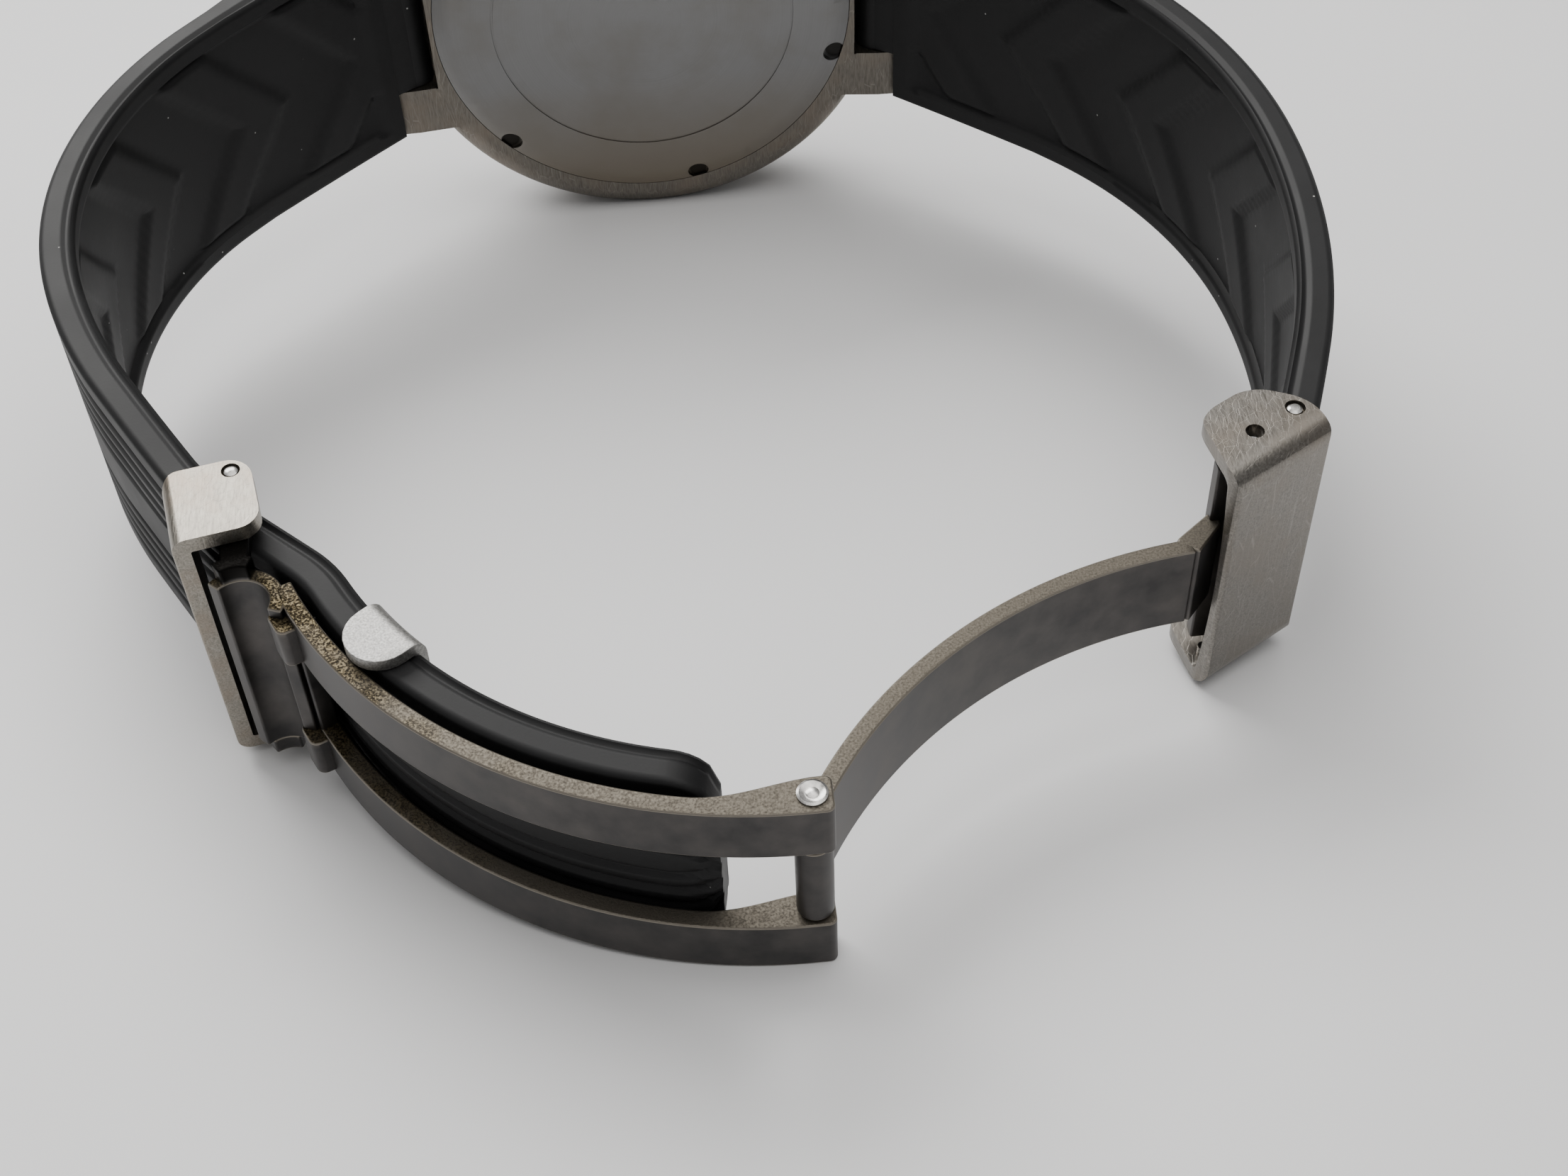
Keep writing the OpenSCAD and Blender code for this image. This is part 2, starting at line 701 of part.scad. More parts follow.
// Walks a list of [length, turn] steps and returns [x, y, heading, distance] at fine spacing.
function walk(p, a, run_list, i = 0, d = 0, n = 8) = i >= len(run_list) ? [[p[0], p[1], a, d]] :
    let (
        l = run_list[i][0],
        t = run_list[i][1],
        points = [for (k = [0:n - 1])
            let (f = k / n, q = p + along(l * f, a, t * f))
            [q[0], q[1], a + t * f, d + l * f]]
    )
    concat(points, walk(p + along(l, a, t), a + t, run_list, i + 1, d + l, n));

// Displacement along an arc of length l that starts at heading a and turns by t.
function along(l, a, t) = abs(t) < 0.01 ? l * unit(a) :
    (l / (t * PI / 180)) * [sin(a + t) - sin(a), cos(a) - cos(a + t)];

long_line = walk(long_start, long_heading, long_run);
short_line = walk(short_start, short_heading, short_run);
long_end = long_line[len(long_line) - 1];
tail_from = long_end[2] - 90;
tail_steps = 20;
tail_line = [for (i = [1:tail_steps])
    let (turn = tail_turn * i / tail_steps, a = tail_from + turn, q = blade_c + tail_r * unit(a))
    [q[0], q[1], a + 90, long_end[3] + tail_r * PI / 180 * turn]];

// Half the strap's thickness at a distance from the lug.
function half_t(d) = strap_t / 2 + (strap_root_t - strap_t) / 2 * max(0, 1 - d / 15);

// The strap in plan: its middle line thickened to both sides, up to a distance from the lug.
module strap_plan(line, upto) {
    used = [for (q = line) if (q[3] <= upto) q];
    last = len(used) - 1;
    polygon(concat(
        [for (q = used) [q[0], q[1]] + half_t(q[3]) * unit(q[2] + 90)],
        [for (i = [last:-1:0]) let (q = used[i]) [q[0], q[1]] + half_t(q[3]) * unit(q[2] - 90)]));
}

// The strap narrows from the lug to the clasp, in thin layers at its two edges.
module strap_body(line, reach, core_half) {
    layers = 4;
    step = (strap_w / 2 - end_half) / layers;
    full_width(core_half) strap_plan(line, 1000);
    full_width(end_half) strap_plan(line, reach);
    for (i = [1:layers]) full_width(end_half + i * step) strap_plan(line, reach * (1 - i / (layers + 0.6)));
}

// The tongue between the lugs, with its eye round the spring bar.
module strap_tongue(end) {
    start = end > 0 ? short_start : long_start;
    heading = end > 0 ? short_heading : long_heading;
    eye = [end * lug_bar_x, lug_bar_z];
    tongue_r = 2.0;
    full_width(lug_in - 0.1) {
        translate(eye) circle(r = tongue_r);
        polygon([start + strap_root_t / 2 * unit(heading + 90),
            start + strap_root_t / 2 * unit(heading - 90),
            eye + tongue_r * unit(heading - 90 * end), eye + tongue_r * unit(heading + 90 * end)]);
    }
}

module strap_long() {
    clasp_reach = 74;
    color("dimgray") difference() {
        union() {
            strap_body(concat(long_line, tail_line), clasp_reach, tail_half);
            strap_tongue(-1);
        }
        translate([-lug_bar_x, lug_bar_z, -20]) cylinder(r = bar_r + run, h = 40);
        translate([lock_bar[0], lock_bar[1], -20]) cylinder(r = bar_r + 0.12, h = 40);
        lug_clearance(-1);
    }
}

module strap_short() {
    short_reach = 76;
    color("dimgray") difference() {
        union() {
            strap_body(short_line, short_reach, end_half);
            translate(strap_pin) cylinder(r = strap_t / 2 + 0.05, h = 2 * end_half, center = true);
            strap_tongue(1);
        }
        translate([lug_bar_x, lug_bar_z, -20]) cylinder(r = bar_r + run, h = 40);
        translate([strap_pin[0], strap_pin[1], -20]) cylinder(r = bar_r + run, h = 40);
        lug_clearance(1);
    }
}

// Room for the lug tips in the wide part of the strap.
module lug_clearance(end) {
    both_sides(lug_in - 0.05, 20) translate([end * (lug_tip + 0.12 - 5), 0])
        square([10, 30], center = true);
}

// ---------------------------------------------------------------- clasp

// A channel of bent sheet: an outer plate with two side walls. Local x runs along the strap, y inwards.
module channel(outline, from, length) {
    both_sides(inner_half, clasp_half) polygon(outline);
    full_width(clasp_half - 0.2) translate([from, 0]) square([length - from, wall_t]);
}

module place_cover() {
    translate([pivot[0], pivot[1], 0]) rotate(cover_turn)
        translate([-cover_pivot_at[0], -cover_pivot_at[1], 0]) children();
}

cover_outline = [[0, 0.35], [0.35, 0], [7.8, 0], [8.4, 0.8], [8.4, 2.9], [6.9, 5.4], [6.0, 5.95],
    [2.6, 5.95], [1.6, 5.3], [0.15, 1.4]];
cover_len = 8.1;

module clasp_cover() {
    color("silver") place_cover() difference() {
        channel(cover_outline, 0.3, cover_len);
        translate([cover_pivot_at[0], cover_pivot_at[1], -20]) cylinder(r = 0.55, h = 40);
        translate([cover_strap_at[0], cover_strap_at[1], -20]) cylinder(r = 0.55, h = 40);
        translate([1.5, 2.0, -20]) cylinder(r = 0.4, h = 20 - inner_half + 0.5);
        translate([1.5, 2.0, inner_half - 0.5]) cylinder(r = 0.4, h = 1.1);
    }
}

module cover_pivot_bar() {
    color("silver") place_cover() translate([cover_pivot_at[0], cover_pivot_at[1], 0])
        cylinder(r = 0.5, h = clasp_w - 1.1, center = true);
}

module cover_catches() {
    color("silver") place_cover() for (side = [-1, 1]) scale([1, 1, side])
        translate([1.5, 2.0, inner_half - 0.85]) cylinder(r = 0.38, h = 1.4);
}

module strap_bar_tips() {
    color("silver") place_cover() for (side = [-1, 1]) scale([1, 1, side])
        translate([cover_strap_at[0], cover_strap_at[1], end_half - 0.02])
            cylinder(r = 0.5, h = clasp_half - end_half + 0.1);
}

module strap_bar() {
    color("silver") translate(strap_pin) cylinder(r = bar_r, h = strap_end_w - 0.1, center = true);
}

module place_buckle() {
    translate([buckle_corner[0], buckle_corner[1], 0]) rotate(buckle_turn) children();
}

buckle_outline = [[0, 0.35], [0.35, 0], [buckle_len, 0], [buckle_len, 3.6], [5.6, 5.2], [4.4, buckle_depth],
    [1.2, buckle_depth], [0.1, 5.2], [-0.35, 4.2], [-0.1, 2]];

module strap_buckle() {
    color("silver") difference() {
        place_buckle() channel(buckle_outline, 1.6, buckle_len);
        translate([lock_bar[0], lock_bar[1], -20]) cylinder(r = 0.55, h = 40);
    }
}

module lock_bar() {
    color("silver") translate([lock_bar[0], lock_bar[1], 0]) {
        cylinder(r = bar_r, h = 2 * inner_half - 0.1, center = true);
        cylinder(r = 0.5, h = clasp_w + 0.1, center = true);
    }
}

module front_blade() {
    color("silver") difference() {
        union() {
            both_sides(rail_in, rail_out) {
                sector(blade_c, blade_in, blade_r, blade_start, 270, 48);
                translate(hinge) circle(r = eye_r);
            }
            // trough that takes the cover's pivot when the clasp is shut
            full_width(rail_out) {
                sector(pivot_folded, 1.9, 2.9, -22, 128, 24);
                sector(blade_c, blade_in, blade_r, blade_start, blade_start + 1.6, 4);
            }
            // catch ears
            both_sides(rail_out - 4, rail_out) sector(blade_c, blade_r - 0.1, blade_r + ear_h,
                blade_start - 0.2, blade_start + 3.2, 4);
            // side arms to the lock bar
            both_sides(arm_in, arm_out) {
                translate(lock_bar) circle(r = 1.3);
                bar_plan(lock_bar, pivot_folded + 2.4 * unit(62), 2.0);
                sector(pivot_folded, 1.9, 2.9, 20, 110, 16);
            }
            both_sides(rail_out - 0.1, arm_in + 0.1) sector(pivot_folded, 1.9, 2.9, 20, 110, 16);
        }
        translate([hinge[0], hinge[1], -20]) cylinder(r = bar_r + eps, h = 40);
        translate([lock_bar[0], lock_bar[1], -20]) cylinder(r = bar_r + run, h = 40);
    }
}

module hinge_pin() {
    color("silver") translate([hinge[0], hinge[1], 0]) {
        cylinder(r = bar_r, h = rail_span - 0.1, center = true);
        for (side = [-1, 1]) scale([1, 1, side]) translate([0, 0, rail_out - 0.06])
            cylinder(r1 = bar_r, r2 = 0.55, h = 0.3);
    }
}

// The rear blade is drawn folded into the slot and swung open about the hinge.
module rear_blade() {
    half = rail_in - 0.25;
    color("silver") translate(hinge) rotate(fold_open) translate(-hinge)
        difference() {
            union() {
                full_width(half) {
                    sector(blade_c, blade_in, blade_r, 209, 268.5, 48);
                    translate(hinge) circle(r = 1.2);
                    polygon([blade_c + blade_in * unit(209.2), blade_c + blade_r * unit(211.5),
                        blade_c + (blade_r + 2.1) * unit(206.6), blade_c + (blade_r + 1.2) * unit(205.6)]);
                }
                full_width(inner_half - 1.0) {
                    sector(blade_c, blade_r + 1.25, blade_r + 2.3, pivot_polar, 206.8, 6);
                    translate(pivot_folded) circle(r = knuckle_r);
                }
            }
            translate([hinge[0], hinge[1], -20]) cylinder(r = bar_r + run, h = 40);
            translate([pivot_folded[0], pivot_folded[1], -20]) cylinder(r = 0.5 + run, h = 40);
        }
}

module strap_keeper() {
    span = 4.4;
    back_r = tail_r - strap_t / 2 - 0.12;
    lip_in = tail_half + 0.1;
    lip_t = 0.9;
    color("silver") {
        full_width(lip_in + lip_t)
            sector(blade_c, back_r - 0.8, back_r, keeper_at - span, keeper_at + span, 12);
        both_sides(lip_in, lip_in + lip_t) {
            sector(blade_c, back_r - 0.8, back_r + 1.2, keeper_at - span, keeper_at + span, 12);
            translate(blade_c + (back_r + 1.0) * unit(keeper_at))
                circle(r = span * PI / 180 * back_r * 0.98);
        }
    }
}

stand() on_case_axis() case_middle();
stand() on_case_axis() case_back();
stand() on_case_axis() back_gasket();
stand() on_case_axis() crystal();
stand() on_case_axis() crystal_gasket();
stand() on_case_axis() rehaut_ring();
stand() on_case_axis() dial();
stand() on_case_axis() dial_markers();
stand() on_case_axis() movement_ring();
stand() on_case_axis() mainplate();
stand() on_case_axis() barrel_bridge();
stand() on_case_axis() train_bridge();
stand() on_case_axis() balance_bridge();
stand() on_case_axis() bridge_screws();
stand() on_case_axis() rotor_bearing();
stand() on_case_axis() barrel();
stand() on_case_axis() mainspring();
stand() on_case_axis() center_wheel();
stand() on_case_axis() cannon_pinion();
stand() on_case_axis() minute_hand();
stand() on_case_axis() third_wheel();
stand() on_case_axis() seconds_wheel();
stand() on_case_axis() seconds_hand();
stand() on_case_axis() escape_wheel();
stand() on_case_axis() pallet_fork();
stand() on_case_axis() balance_wheel();
stand() on_case_axis() hairspring();
stand() on_case_axis() rotor();
stand() on_case_axis() minute_wheel();
stand() on_case_axis() hour_wheel();
stand() on_case_axis() hour_hand();
stand() on_case_axis() crown_tube();
stand() on_case_axis() crown_gasket();
stand() on_case_axis() crown();
stand() on_case_axis() winding_stem();
stand() on_case_axis() bezel_click_spring();
stand() on_case_axis() bezel();
stand() on_case_axis() bezel_insert();
stand() on_case_axis() bezel_pip();
stand() on_case_axis() bezel_gasket();
stand() lug_bar_long();
stand() lug_bar_short();
stand() strap_long();
stand() strap_short();
stand() strap_buckle();
stand() lock_bar();
stand() front_blade();
stand() hinge_pin();
stand() rear_blade();
stand() clasp_cover();
stand() cover_pivot_bar();
stand() cover_catches();
stand() strap_bar_tips();
stand() strap_bar();
stand() strap_keeper();
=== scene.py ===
import json
import math
import bmesh
import bpy
from mathutils import Matrix, Vector


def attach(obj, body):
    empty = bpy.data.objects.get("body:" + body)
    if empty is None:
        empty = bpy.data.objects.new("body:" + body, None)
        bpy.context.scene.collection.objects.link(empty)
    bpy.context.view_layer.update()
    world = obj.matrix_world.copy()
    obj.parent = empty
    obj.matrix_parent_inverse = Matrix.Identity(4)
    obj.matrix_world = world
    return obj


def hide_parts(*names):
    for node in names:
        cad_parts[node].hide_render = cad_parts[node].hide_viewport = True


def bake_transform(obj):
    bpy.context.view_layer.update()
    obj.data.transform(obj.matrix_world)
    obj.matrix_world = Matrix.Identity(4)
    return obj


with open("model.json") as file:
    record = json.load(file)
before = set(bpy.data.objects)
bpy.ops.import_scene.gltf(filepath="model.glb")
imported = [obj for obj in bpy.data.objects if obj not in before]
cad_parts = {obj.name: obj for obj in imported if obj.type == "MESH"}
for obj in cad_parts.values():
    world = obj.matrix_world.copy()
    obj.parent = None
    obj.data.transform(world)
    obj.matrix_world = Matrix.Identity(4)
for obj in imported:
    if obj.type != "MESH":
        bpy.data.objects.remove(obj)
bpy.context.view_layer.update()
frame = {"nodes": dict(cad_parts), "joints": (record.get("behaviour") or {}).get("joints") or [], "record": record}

# ------------------------------------------------------------------ the watch's own axes
# The watch leans on its side, so its pieces are shaped in the watch's own millimetres and then put
# in place: X across the loop, Y along the case's axis towards the dial, Z along the strap's width.
joints = {joint["name"]: joint for joint in frame["joints"]}
mounts = {mount["name"]: mount for mount in frame["record"]["mounts"]}
width_axis = Vector(joints["clasp_fold"]["axis"]).normalized()
case_axis = Vector(joints["rotor_swing"]["axis"]).normalized()
loop_axis = case_axis.cross(width_axis)
watch = Matrix.Identity(4)
for column, direction in enumerate((loop_axis, case_axis, width_axis)):
    for line in range(3):
        watch[line][column] = direction[line] * 0.001
watch.translation = Vector(mounts["case_back_face"]["pos_m"])
back_to_watch = watch.inverted()


def place_on_watch(name):
    """Where a joint's pivot lies, in the watch's millimetres."""
    return back_to_watch @ Vector(joints[name]["pos_m"])


def at(x, y, z=0.0):
    """A point in the watch's millimetres, as a point in the room."""
    return watch @ Vector((x, y, z))


# ------------------------------------------------------------------ camera
# A phone's camera held over the clasp's side, looking down into the open strap loop.
camera_data = bpy.data.cameras.new("camera")
camera_data.sensor_width = 36.0
camera_data.lens = 51.05
camera_data.clip_start = 0.005
camera_data.clip_end = 20.0
camera = bpy.data.objects.new("camera", camera_data)
bpy.context.scene.collection.objects.link(camera)
bpy.context.scene.camera = camera
pitch = math.radians(48.94)
heading = math.radians(3.97)
roll = math.radians(-2.38)
gaze = Vector((math.sin(heading) * math.cos(pitch), math.cos(heading) * math.cos(pitch), -math.sin(pitch)))
right = Vector((math.cos(heading), -math.sin(heading), 0.0))
upward = right.cross(gaze)
right_rolled = math.cos(roll) * right + math.sin(roll) * upward
upward_rolled = math.cos(roll) * upward - math.sin(roll) * right
turn = watch.to_3x3() * 1000.0
basis = Matrix((turn @ right_rolled, turn @ upward_rolled, turn @ -gaze)).transposed()
camera.matrix_world = Matrix.Translation(at(-1.19, -165.41, 113.38)) @ basis.to_4x4()

# ------------------------------------------------------------------ rubber strap, both halves
# One bar of moulded rubber for each half, held to the lugs by a sprung bar. The wrist side is
# sunk inside a raised rim and carries shallow raised chevrons; the outer side has lengthwise
# grooves, and the long half has cross ribs on its wrist side for the clasp's lock bar.

def colour(hex_value):
    """An sRGB hex value as linear red, green, blue and alpha."""
    parts = [int(hex_value[i:i + 2], 16) / 255.0 for i in (1, 3, 5)]
    linear = [c / 12.92 if c <= 0.04045 else ((c + 0.055) / 1.055) ** 2.4 for c in parts]
    return (*linear, 1.0)


def add(owner, kind, inputs=None, out=0, stops=(), **settings):
    """Adds a node and returns one of its outputs. An input is another node's output, a hex colour or a
    plain value, and stops are a colour ramp's (position, hex or grey) pairs."""
    node = owner.node_tree.nodes.new("ShaderNode" + kind)
    for name, value in settings.items():
        setattr(node, name, value)
    for name, value in (inputs or {}).items():
        if isinstance(value, bpy.types.NodeSocket):
            owner.node_tree.links.new(value, node.inputs[name])
        else:
            node.inputs[name].default_value = colour(value) if isinstance(value, str) else value
    for index, (position, value) in enumerate(stops):
        elements = node.color_ramp.elements
        while len(elements) < len(stops):
            elements.new(0.5)
        elements[index].position = position
        elements[index].color = colour(value) if isinstance(value, str) else (value, value, value, 1.0)
    return node.outputs[out] if node.outputs else None


def new_material(name):
    """An empty node material, with coordinates in the watch's own millimetres."""
    material = bpy.data.materials.new(name)
    material.use_nodes = True
    material.node_tree.nodes.clear()
    place = {"Vector": add(material, "TexCoord", out="Object"), "Location": watch.translation,
             "Rotation": (watch.to_3x3() * 1000.0).to_euler(), "Scale": (0.001, 0.001, 0.001)}
    return material, add(material, "Mapping", place, vector_type="TEXTURE")


def shaded(material, inputs):
    """Finishes a material: its colour, gloss and bump go to the shader, and that to the output."""
    add(material, "OutputMaterial", {"Surface": add(material, "BsdfPrincipled", inputs)})
    return material


# Moulded natural rubber, near black and semi-matt, from a finely etched mould (its grain is drawn at
# 0.18 mm so that it shows). It carries dust specks and a faint grey bloom where it has been handled.
def moulded_rubber():
    material, mm = new_material("moulded_black_rubber")
    grain = add(material, "TexNoise", {"Vector": mm, "Scale": 1 / 0.18, "Detail": 2.0, "Roughness": 0.5})
    bloom = add(material, "TexNoise", {"Vector": mm, "Scale": 1 / 7.0, "Detail": 4.0, "Roughness": 0.6})
    base = add(material, "ValToRGB", {"Fac": bloom}, stops=((0.35, "#121213"), (0.75, "#1e1e1f")))
    specks = add(material, "TexVoronoi", {"Vector": mm, "Scale": 0.55}, out="Distance")
    dot = add(material, "ValToRGB", {"Fac": specks}, stops=((0.0, 1.0), (0.035, 1.0), (0.05, 0.0)))
    patches = add(material, "TexNoise", {"Vector": mm, "Scale": 1 / 9.0, "Detail": 1.0, "Roughness": 0.55})
    dusty = add(material, "ValToRGB", {"Fac": patches}, stops=((0.5, 0.0), (0.56, 1.0)))
    dust = add(material, "Math", {0: dot, 1: dusty}, operation="MULTIPLY")
    dust = add(material, "Math", {0: dust, 1: 0.65}, operation="MULTIPLY")
    return shaded(material, {
        "Base Color": add(material, "Mix", {0: dust, 6: base, 7: "#b9b9b6"}, out=2, data_type="RGBA"),
        "Roughness": add(material, "ValToRGB", {"Fac": bloom}, stops=((0.2, 0.46), (0.8, 0.6))),
        "Specular IOR Level": 0.26,
        "Normal": add(material, "Bump", {"Height": grain, "Strength": 0.3, "Distance": 0.02 / 1000})})


strap_rubber = moulded_rubber()
strap_t = 2.6
strap_root_t = 4.4
root_half = 10.4
end_half = 9.45
tail_half = 8.4
across_steps = 84
edge_steps = 10
step_mm = 0.6


def smooth(low, high, value):
    """0 below low, 1 above high, with soft ends."""
    t = min(1.0, max(0.0, (value - low) / (high - low)))
    return t * t * (3.0 - 2.0 * t)


def band(value, half, soft):
    """1 inside a band half as wide on each side of 0, falling to 0 over soft."""
    return 1.0 - smooth(half - soft, half + soft, abs(value))


def half_thickness(along):
    return strap_t / 2 + (strap_root_t - strap_t) / 2 * max(0.0, 1.0 - along / 15.0)


def wrist_side_depth(along, across, half, ribs_from, length):
    """How deep the wrist side lies below the rim."""
    inset = half - abs(across)
    sunk = smooth(1.5, 1.85, inset) * smooth(2.0, 2.5, along) * smooth(1.6, 2.2, length - along)
    depth = 0.55 * sunk
    if along < ribs_from:
        phase = (along - 0.85 * abs(across) + 30.0) % 12.5 - 6.25
        depth -= 0.38 * sunk * band(phase, 2.6, 0.45) * smooth(1.9, 2.3, inset)
    else:
        phase = (along - ribs_from) % 2.6 - 1.3
        depth += 0.25 * sunk * band(phase, 0.5, 0.2)
    return depth


def outer_side_depth(across, half):
    """How deep the outer side's lengthwise grooves are."""
    inset = half - abs(across)
    return sum(0.36 * band(inset - place, 0.3, 0.16) for place in (2.2, 3.8, 5.4, 7.0))


def corner_round(inset, radius):
    """How much a corner of this radius takes off, this far in from the edge."""
    if inset >= radius:
        return 0.0
    return radius - math.sqrt(max(0.0, radius * radius - (radius - inset) ** 2))


def walk(start, heading, runs, along):
    """The point and heading at a distance along runs of (length, turn in degrees)."""
    point = Vector((start[0], start[1], 0.0))
    angle = math.radians(heading)
    for length, turn_degrees in runs:
        share = min(1.0, max(0.0, along / length))
        reach = length * share
        arc = math.radians(turn_degrees) * share
        chord = reach if abs(arc) < 1e-6 else reach * math.sin(arc / 2) / (arc / 2)
        point = point + Vector((math.cos(angle + arc / 2), math.sin(angle + arc / 2), 0.0)) * chord
        angle += arc
        along -= length
        if along <= 0:
            break
    return point, angle


def add_object(name, bm, material, smooth_degrees=35.0):
    """Turns a finished bmesh, in the watch's millimetres, into an object placed on the watch."""
    bmesh.ops.transform(bm, matrix=watch, verts=bm.verts)
    mesh = bpy.data.meshes.new(name)
    bm.to_mesh(mesh)
    bm.free()
    mesh.materials.append(material)
    mesh.shade_smooth()
    mesh.set_sharp_from_angle(angle=math.radians(smooth_degrees))
    piece = bpy.data.objects.new(name, mesh)
    bpy.context.scene.collection.objects.link(piece)
    return piece


def make_strap(name, start, heading, runs, wrist, half_width, ribs_from, eye):
    """Presses the relief into a straight bar, then bends it along the strap's middle line."""
    length = sum(run[0] for run in runs)
    bm = bmesh.new()
    corners = [bm.verts.new((0.0, n, z)) for n, z in ((1, -1), (1, 1), (-1, 1), (-1, -1))]
    section = [bm.edges.new((corners[i], corners[(i + 1) % 4])) for i in range(4)]
    bmesh.ops.subdivide_edges(bm, edges=section[0:3:2], cuts=across_steps - 1)
    sides = [edge for edge in bm.edges if abs(edge.verts[0].co.z - edge.verts[1].co.z) < 1e-6]
    bmesh.ops.subdivide_edges(bm, edges=sides, cuts=edge_steps - 1)
    steps = round(length / step_mm)
    bmesh.ops.spin(bm, geom=list(bm.edges), cent=(0, 0, 0), axis=(1, 0, 0), angle=0.0, steps=steps,
                   dvec=(length / steps, 0, 0), use_duplicate=False)
    bmesh.ops.holes_fill(bm, edges=[edge for edge in bm.edges if edge.is_boundary], sides=0)
    for vert in bm.verts:
        along, side, across = vert.co
        half = half_width(along, length)
        place = across * half
        thick = half_thickness(along)
        inset = half - abs(place)
        if abs(side) > 0.999 and side * wrist > 0:
            depth = max(wrist_side_depth(along, place, half, ribs_from, length), corner_round(inset, 0.3))
        elif abs(side) > 0.999:
            depth = max(outer_side_depth(place, half), corner_round(inset, 0.4))
        else:
            depth = 0.0
            lip = smooth(0.45, 0.6, side * wrist)
            place -= math.copysign(0.22 * lip, place)
        offset = side * (thick - depth) if abs(side) > 0.999 else side * (thick - 0.35)
        point, angle = walk(start, heading, runs, along)
        vert.co = point + Vector((-math.sin(angle), math.cos(angle), 0.0)) * offset
        vert.co.z = place
    # the tongue that fills the gap between the lugs, moulded round the sprung bar's eye
    root, angle = walk(start, heading, runs, 0.0)
    back = math.atan2(eye.y - root.y, eye.x - root.x)
    reach = (Vector((eye.x, eye.y, 0)) - root).length
    tongue = bmesh.ops.create_cone(bm, segments=40, radius1=2.0, radius2=2.0, depth=tongue_half * 2,
                                   cap_ends=True)
    bmesh.ops.translate(bm, verts=tongue["verts"], vec=(eye.x, eye.y, 0))
    web = bmesh.ops.create_cube(bm, size=1.0)
    web_place = (Matrix.Translation(root) @ Matrix.Rotation(back, 4, "Z")
                 @ Matrix.Translation((reach / 2 - 0.8, 0, 0))
                 @ Matrix.Diagonal((reach + 1.6, 3.8, tongue_half * 2, 1)))
    bmesh.ops.transform(bm, matrix=web_place, verts=web["verts"])
    bmesh.ops.recalc_face_normals(bm, faces=bm.faces)
    return add_object(name, bm, strap_rubber, 50.0)


def long_half_width(along, length):
    """Narrows evenly to the clasp, steps in to the tail, and rounds the tail's end."""
    half = root_half + (end_half - root_half) * min(1.0, along / 72.0)
    half += (tail_half - end_half) * smooth(72.0, 76.0, along)
    left = length - along
    return half - corner_round(left, 3.0)


def short_half_width(along, length):
    """Narrows evenly from the lugs to the clasp cover."""
    return root_half + (end_half - root_half) * min(1.0, along / 72.0)


tongue_half = 5.8
hinge_place = place_on_watch("clasp_fold")
blade_r = 35.0
blade_t = 1.25
hinge_in = 1.35
blade_centre = hinge_place + Vector((0, blade_r - hinge_in, 0))
tail_gap = 0.2
tail_radius = blade_r - blade_t - tail_gap - strap_t / 2
long_eye = place_on_watch("long_strap_root")
short_eye = place_on_watch("short_strap_root")
cover_tilt = math.radians(30.7)
strap_pin = place_on_watch("cover_pivot") + Matrix.Rotation(cover_tilt, 3, "Z") @ Vector((3.58, -0.03, 0))
lug_start = 23.6
long_runs = [(17.5, 2), (31, 58), (12, 15.5), (10, 1), (2.5, 15), (9.4, 0), (3.2, -19)]
tail_runs = [(tail_radius * math.radians(53), 53)]
short_runs = [(17, -2), (26, -38), (24, -26), (7.4, -2)]

long_strap = make_strap("strap_long_half", (-lug_start, 1.4), 224.6, long_runs + tail_runs, 1,
                        long_half_width, 68.0, long_eye)
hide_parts("strap_long")
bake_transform(long_strap)

short_strap = make_strap("strap_short_half", (lug_start, 1.4), -44.6, short_runs, -1,
                         short_half_width, 200.0, short_eye)
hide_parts("strap_short")
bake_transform(short_strap)


# ------------------------------------------------------------------ strap buckle and clasp cover
# Each is a channel bent from steel sheet: an outer plate and two side walls, trimmed to a rounded
# outline. The buckle turns on the lock bar; the cover hangs on the rear blade and holds the strap.

# Satin-brushed stainless steel, rubbed with an abrasive belt. It shows fine straight grain of a few
# hundredths of a millimetre (drawn at 0.12 mm so that it shows), handling scratches and warm stains.
def brushed_steel(name, dark, light, grain, stain, rough):
    material, mm = new_material(name)
    along_grain = add(material, "Mapping", {"Vector": mm, "Scale": grain})
    lines = add(material, "TexNoise", {"Vector": along_grain, "Scale": 1 / 0.12, "Detail": 4.0,
                                       "Roughness": 0.6})
    cloud = add(material, "TexNoise", {"Vector": mm, "Scale": 1 / 4.0, "Detail": 4.0, "Roughness": 0.55})
    stained = add(material, "ValToRGB", {"Fac": cloud}, stops=((0.45, 0.0), (0.75, 0.8)))
    tone = add(material, "ValToRGB", {"Fac": lines}, stops=((0.3, dark), (0.72, light)))
    tone = add(material, "Mix", {0: stained, 6: tone, 7: stain}, out=2, data_type="RGBA")
    along_scratch = add(material, "Mapping", {"Vector": mm, "Scale": (2.2, 1.4, 0.22)})
    scratch = add(material, "TexVoronoi", {"Vector": along_scratch, "Scale": 0.9}, out="Distance",
                  feature="DISTANCE_TO_EDGE")
    fine = add(material, "ValToRGB", {"Fac": scratch}, stops=((0.0, 1.0), (0.02, 0.0)))
    bright = add(material, "Math", {0: fine, 1: 0.16}, operation="MULTIPLY")
    deep = add(material, "Math", {0: fine, 1: 0.6}, operation="MULTIPLY")
    height = add(material, "Math", {0: lines, 1: deep}, operation="SUBTRACT")
    return shaded(material, {
        "Base Color": add(material, "Mix", {0: bright, 6: tone, 7: "#cfcbc4"}, out=2, data_type="RGBA"),
        "Metallic": 1.0,
        "Roughness": add(material, "ValToRGB", {"Fac": lines},
                         stops=((0.2, rough - 0.07), (0.8, rough + 0.09))),
        "Normal": add(material, "Bump", {"Height": height, "Strength": 0.35, "Distance": 0.02 / 1000})})


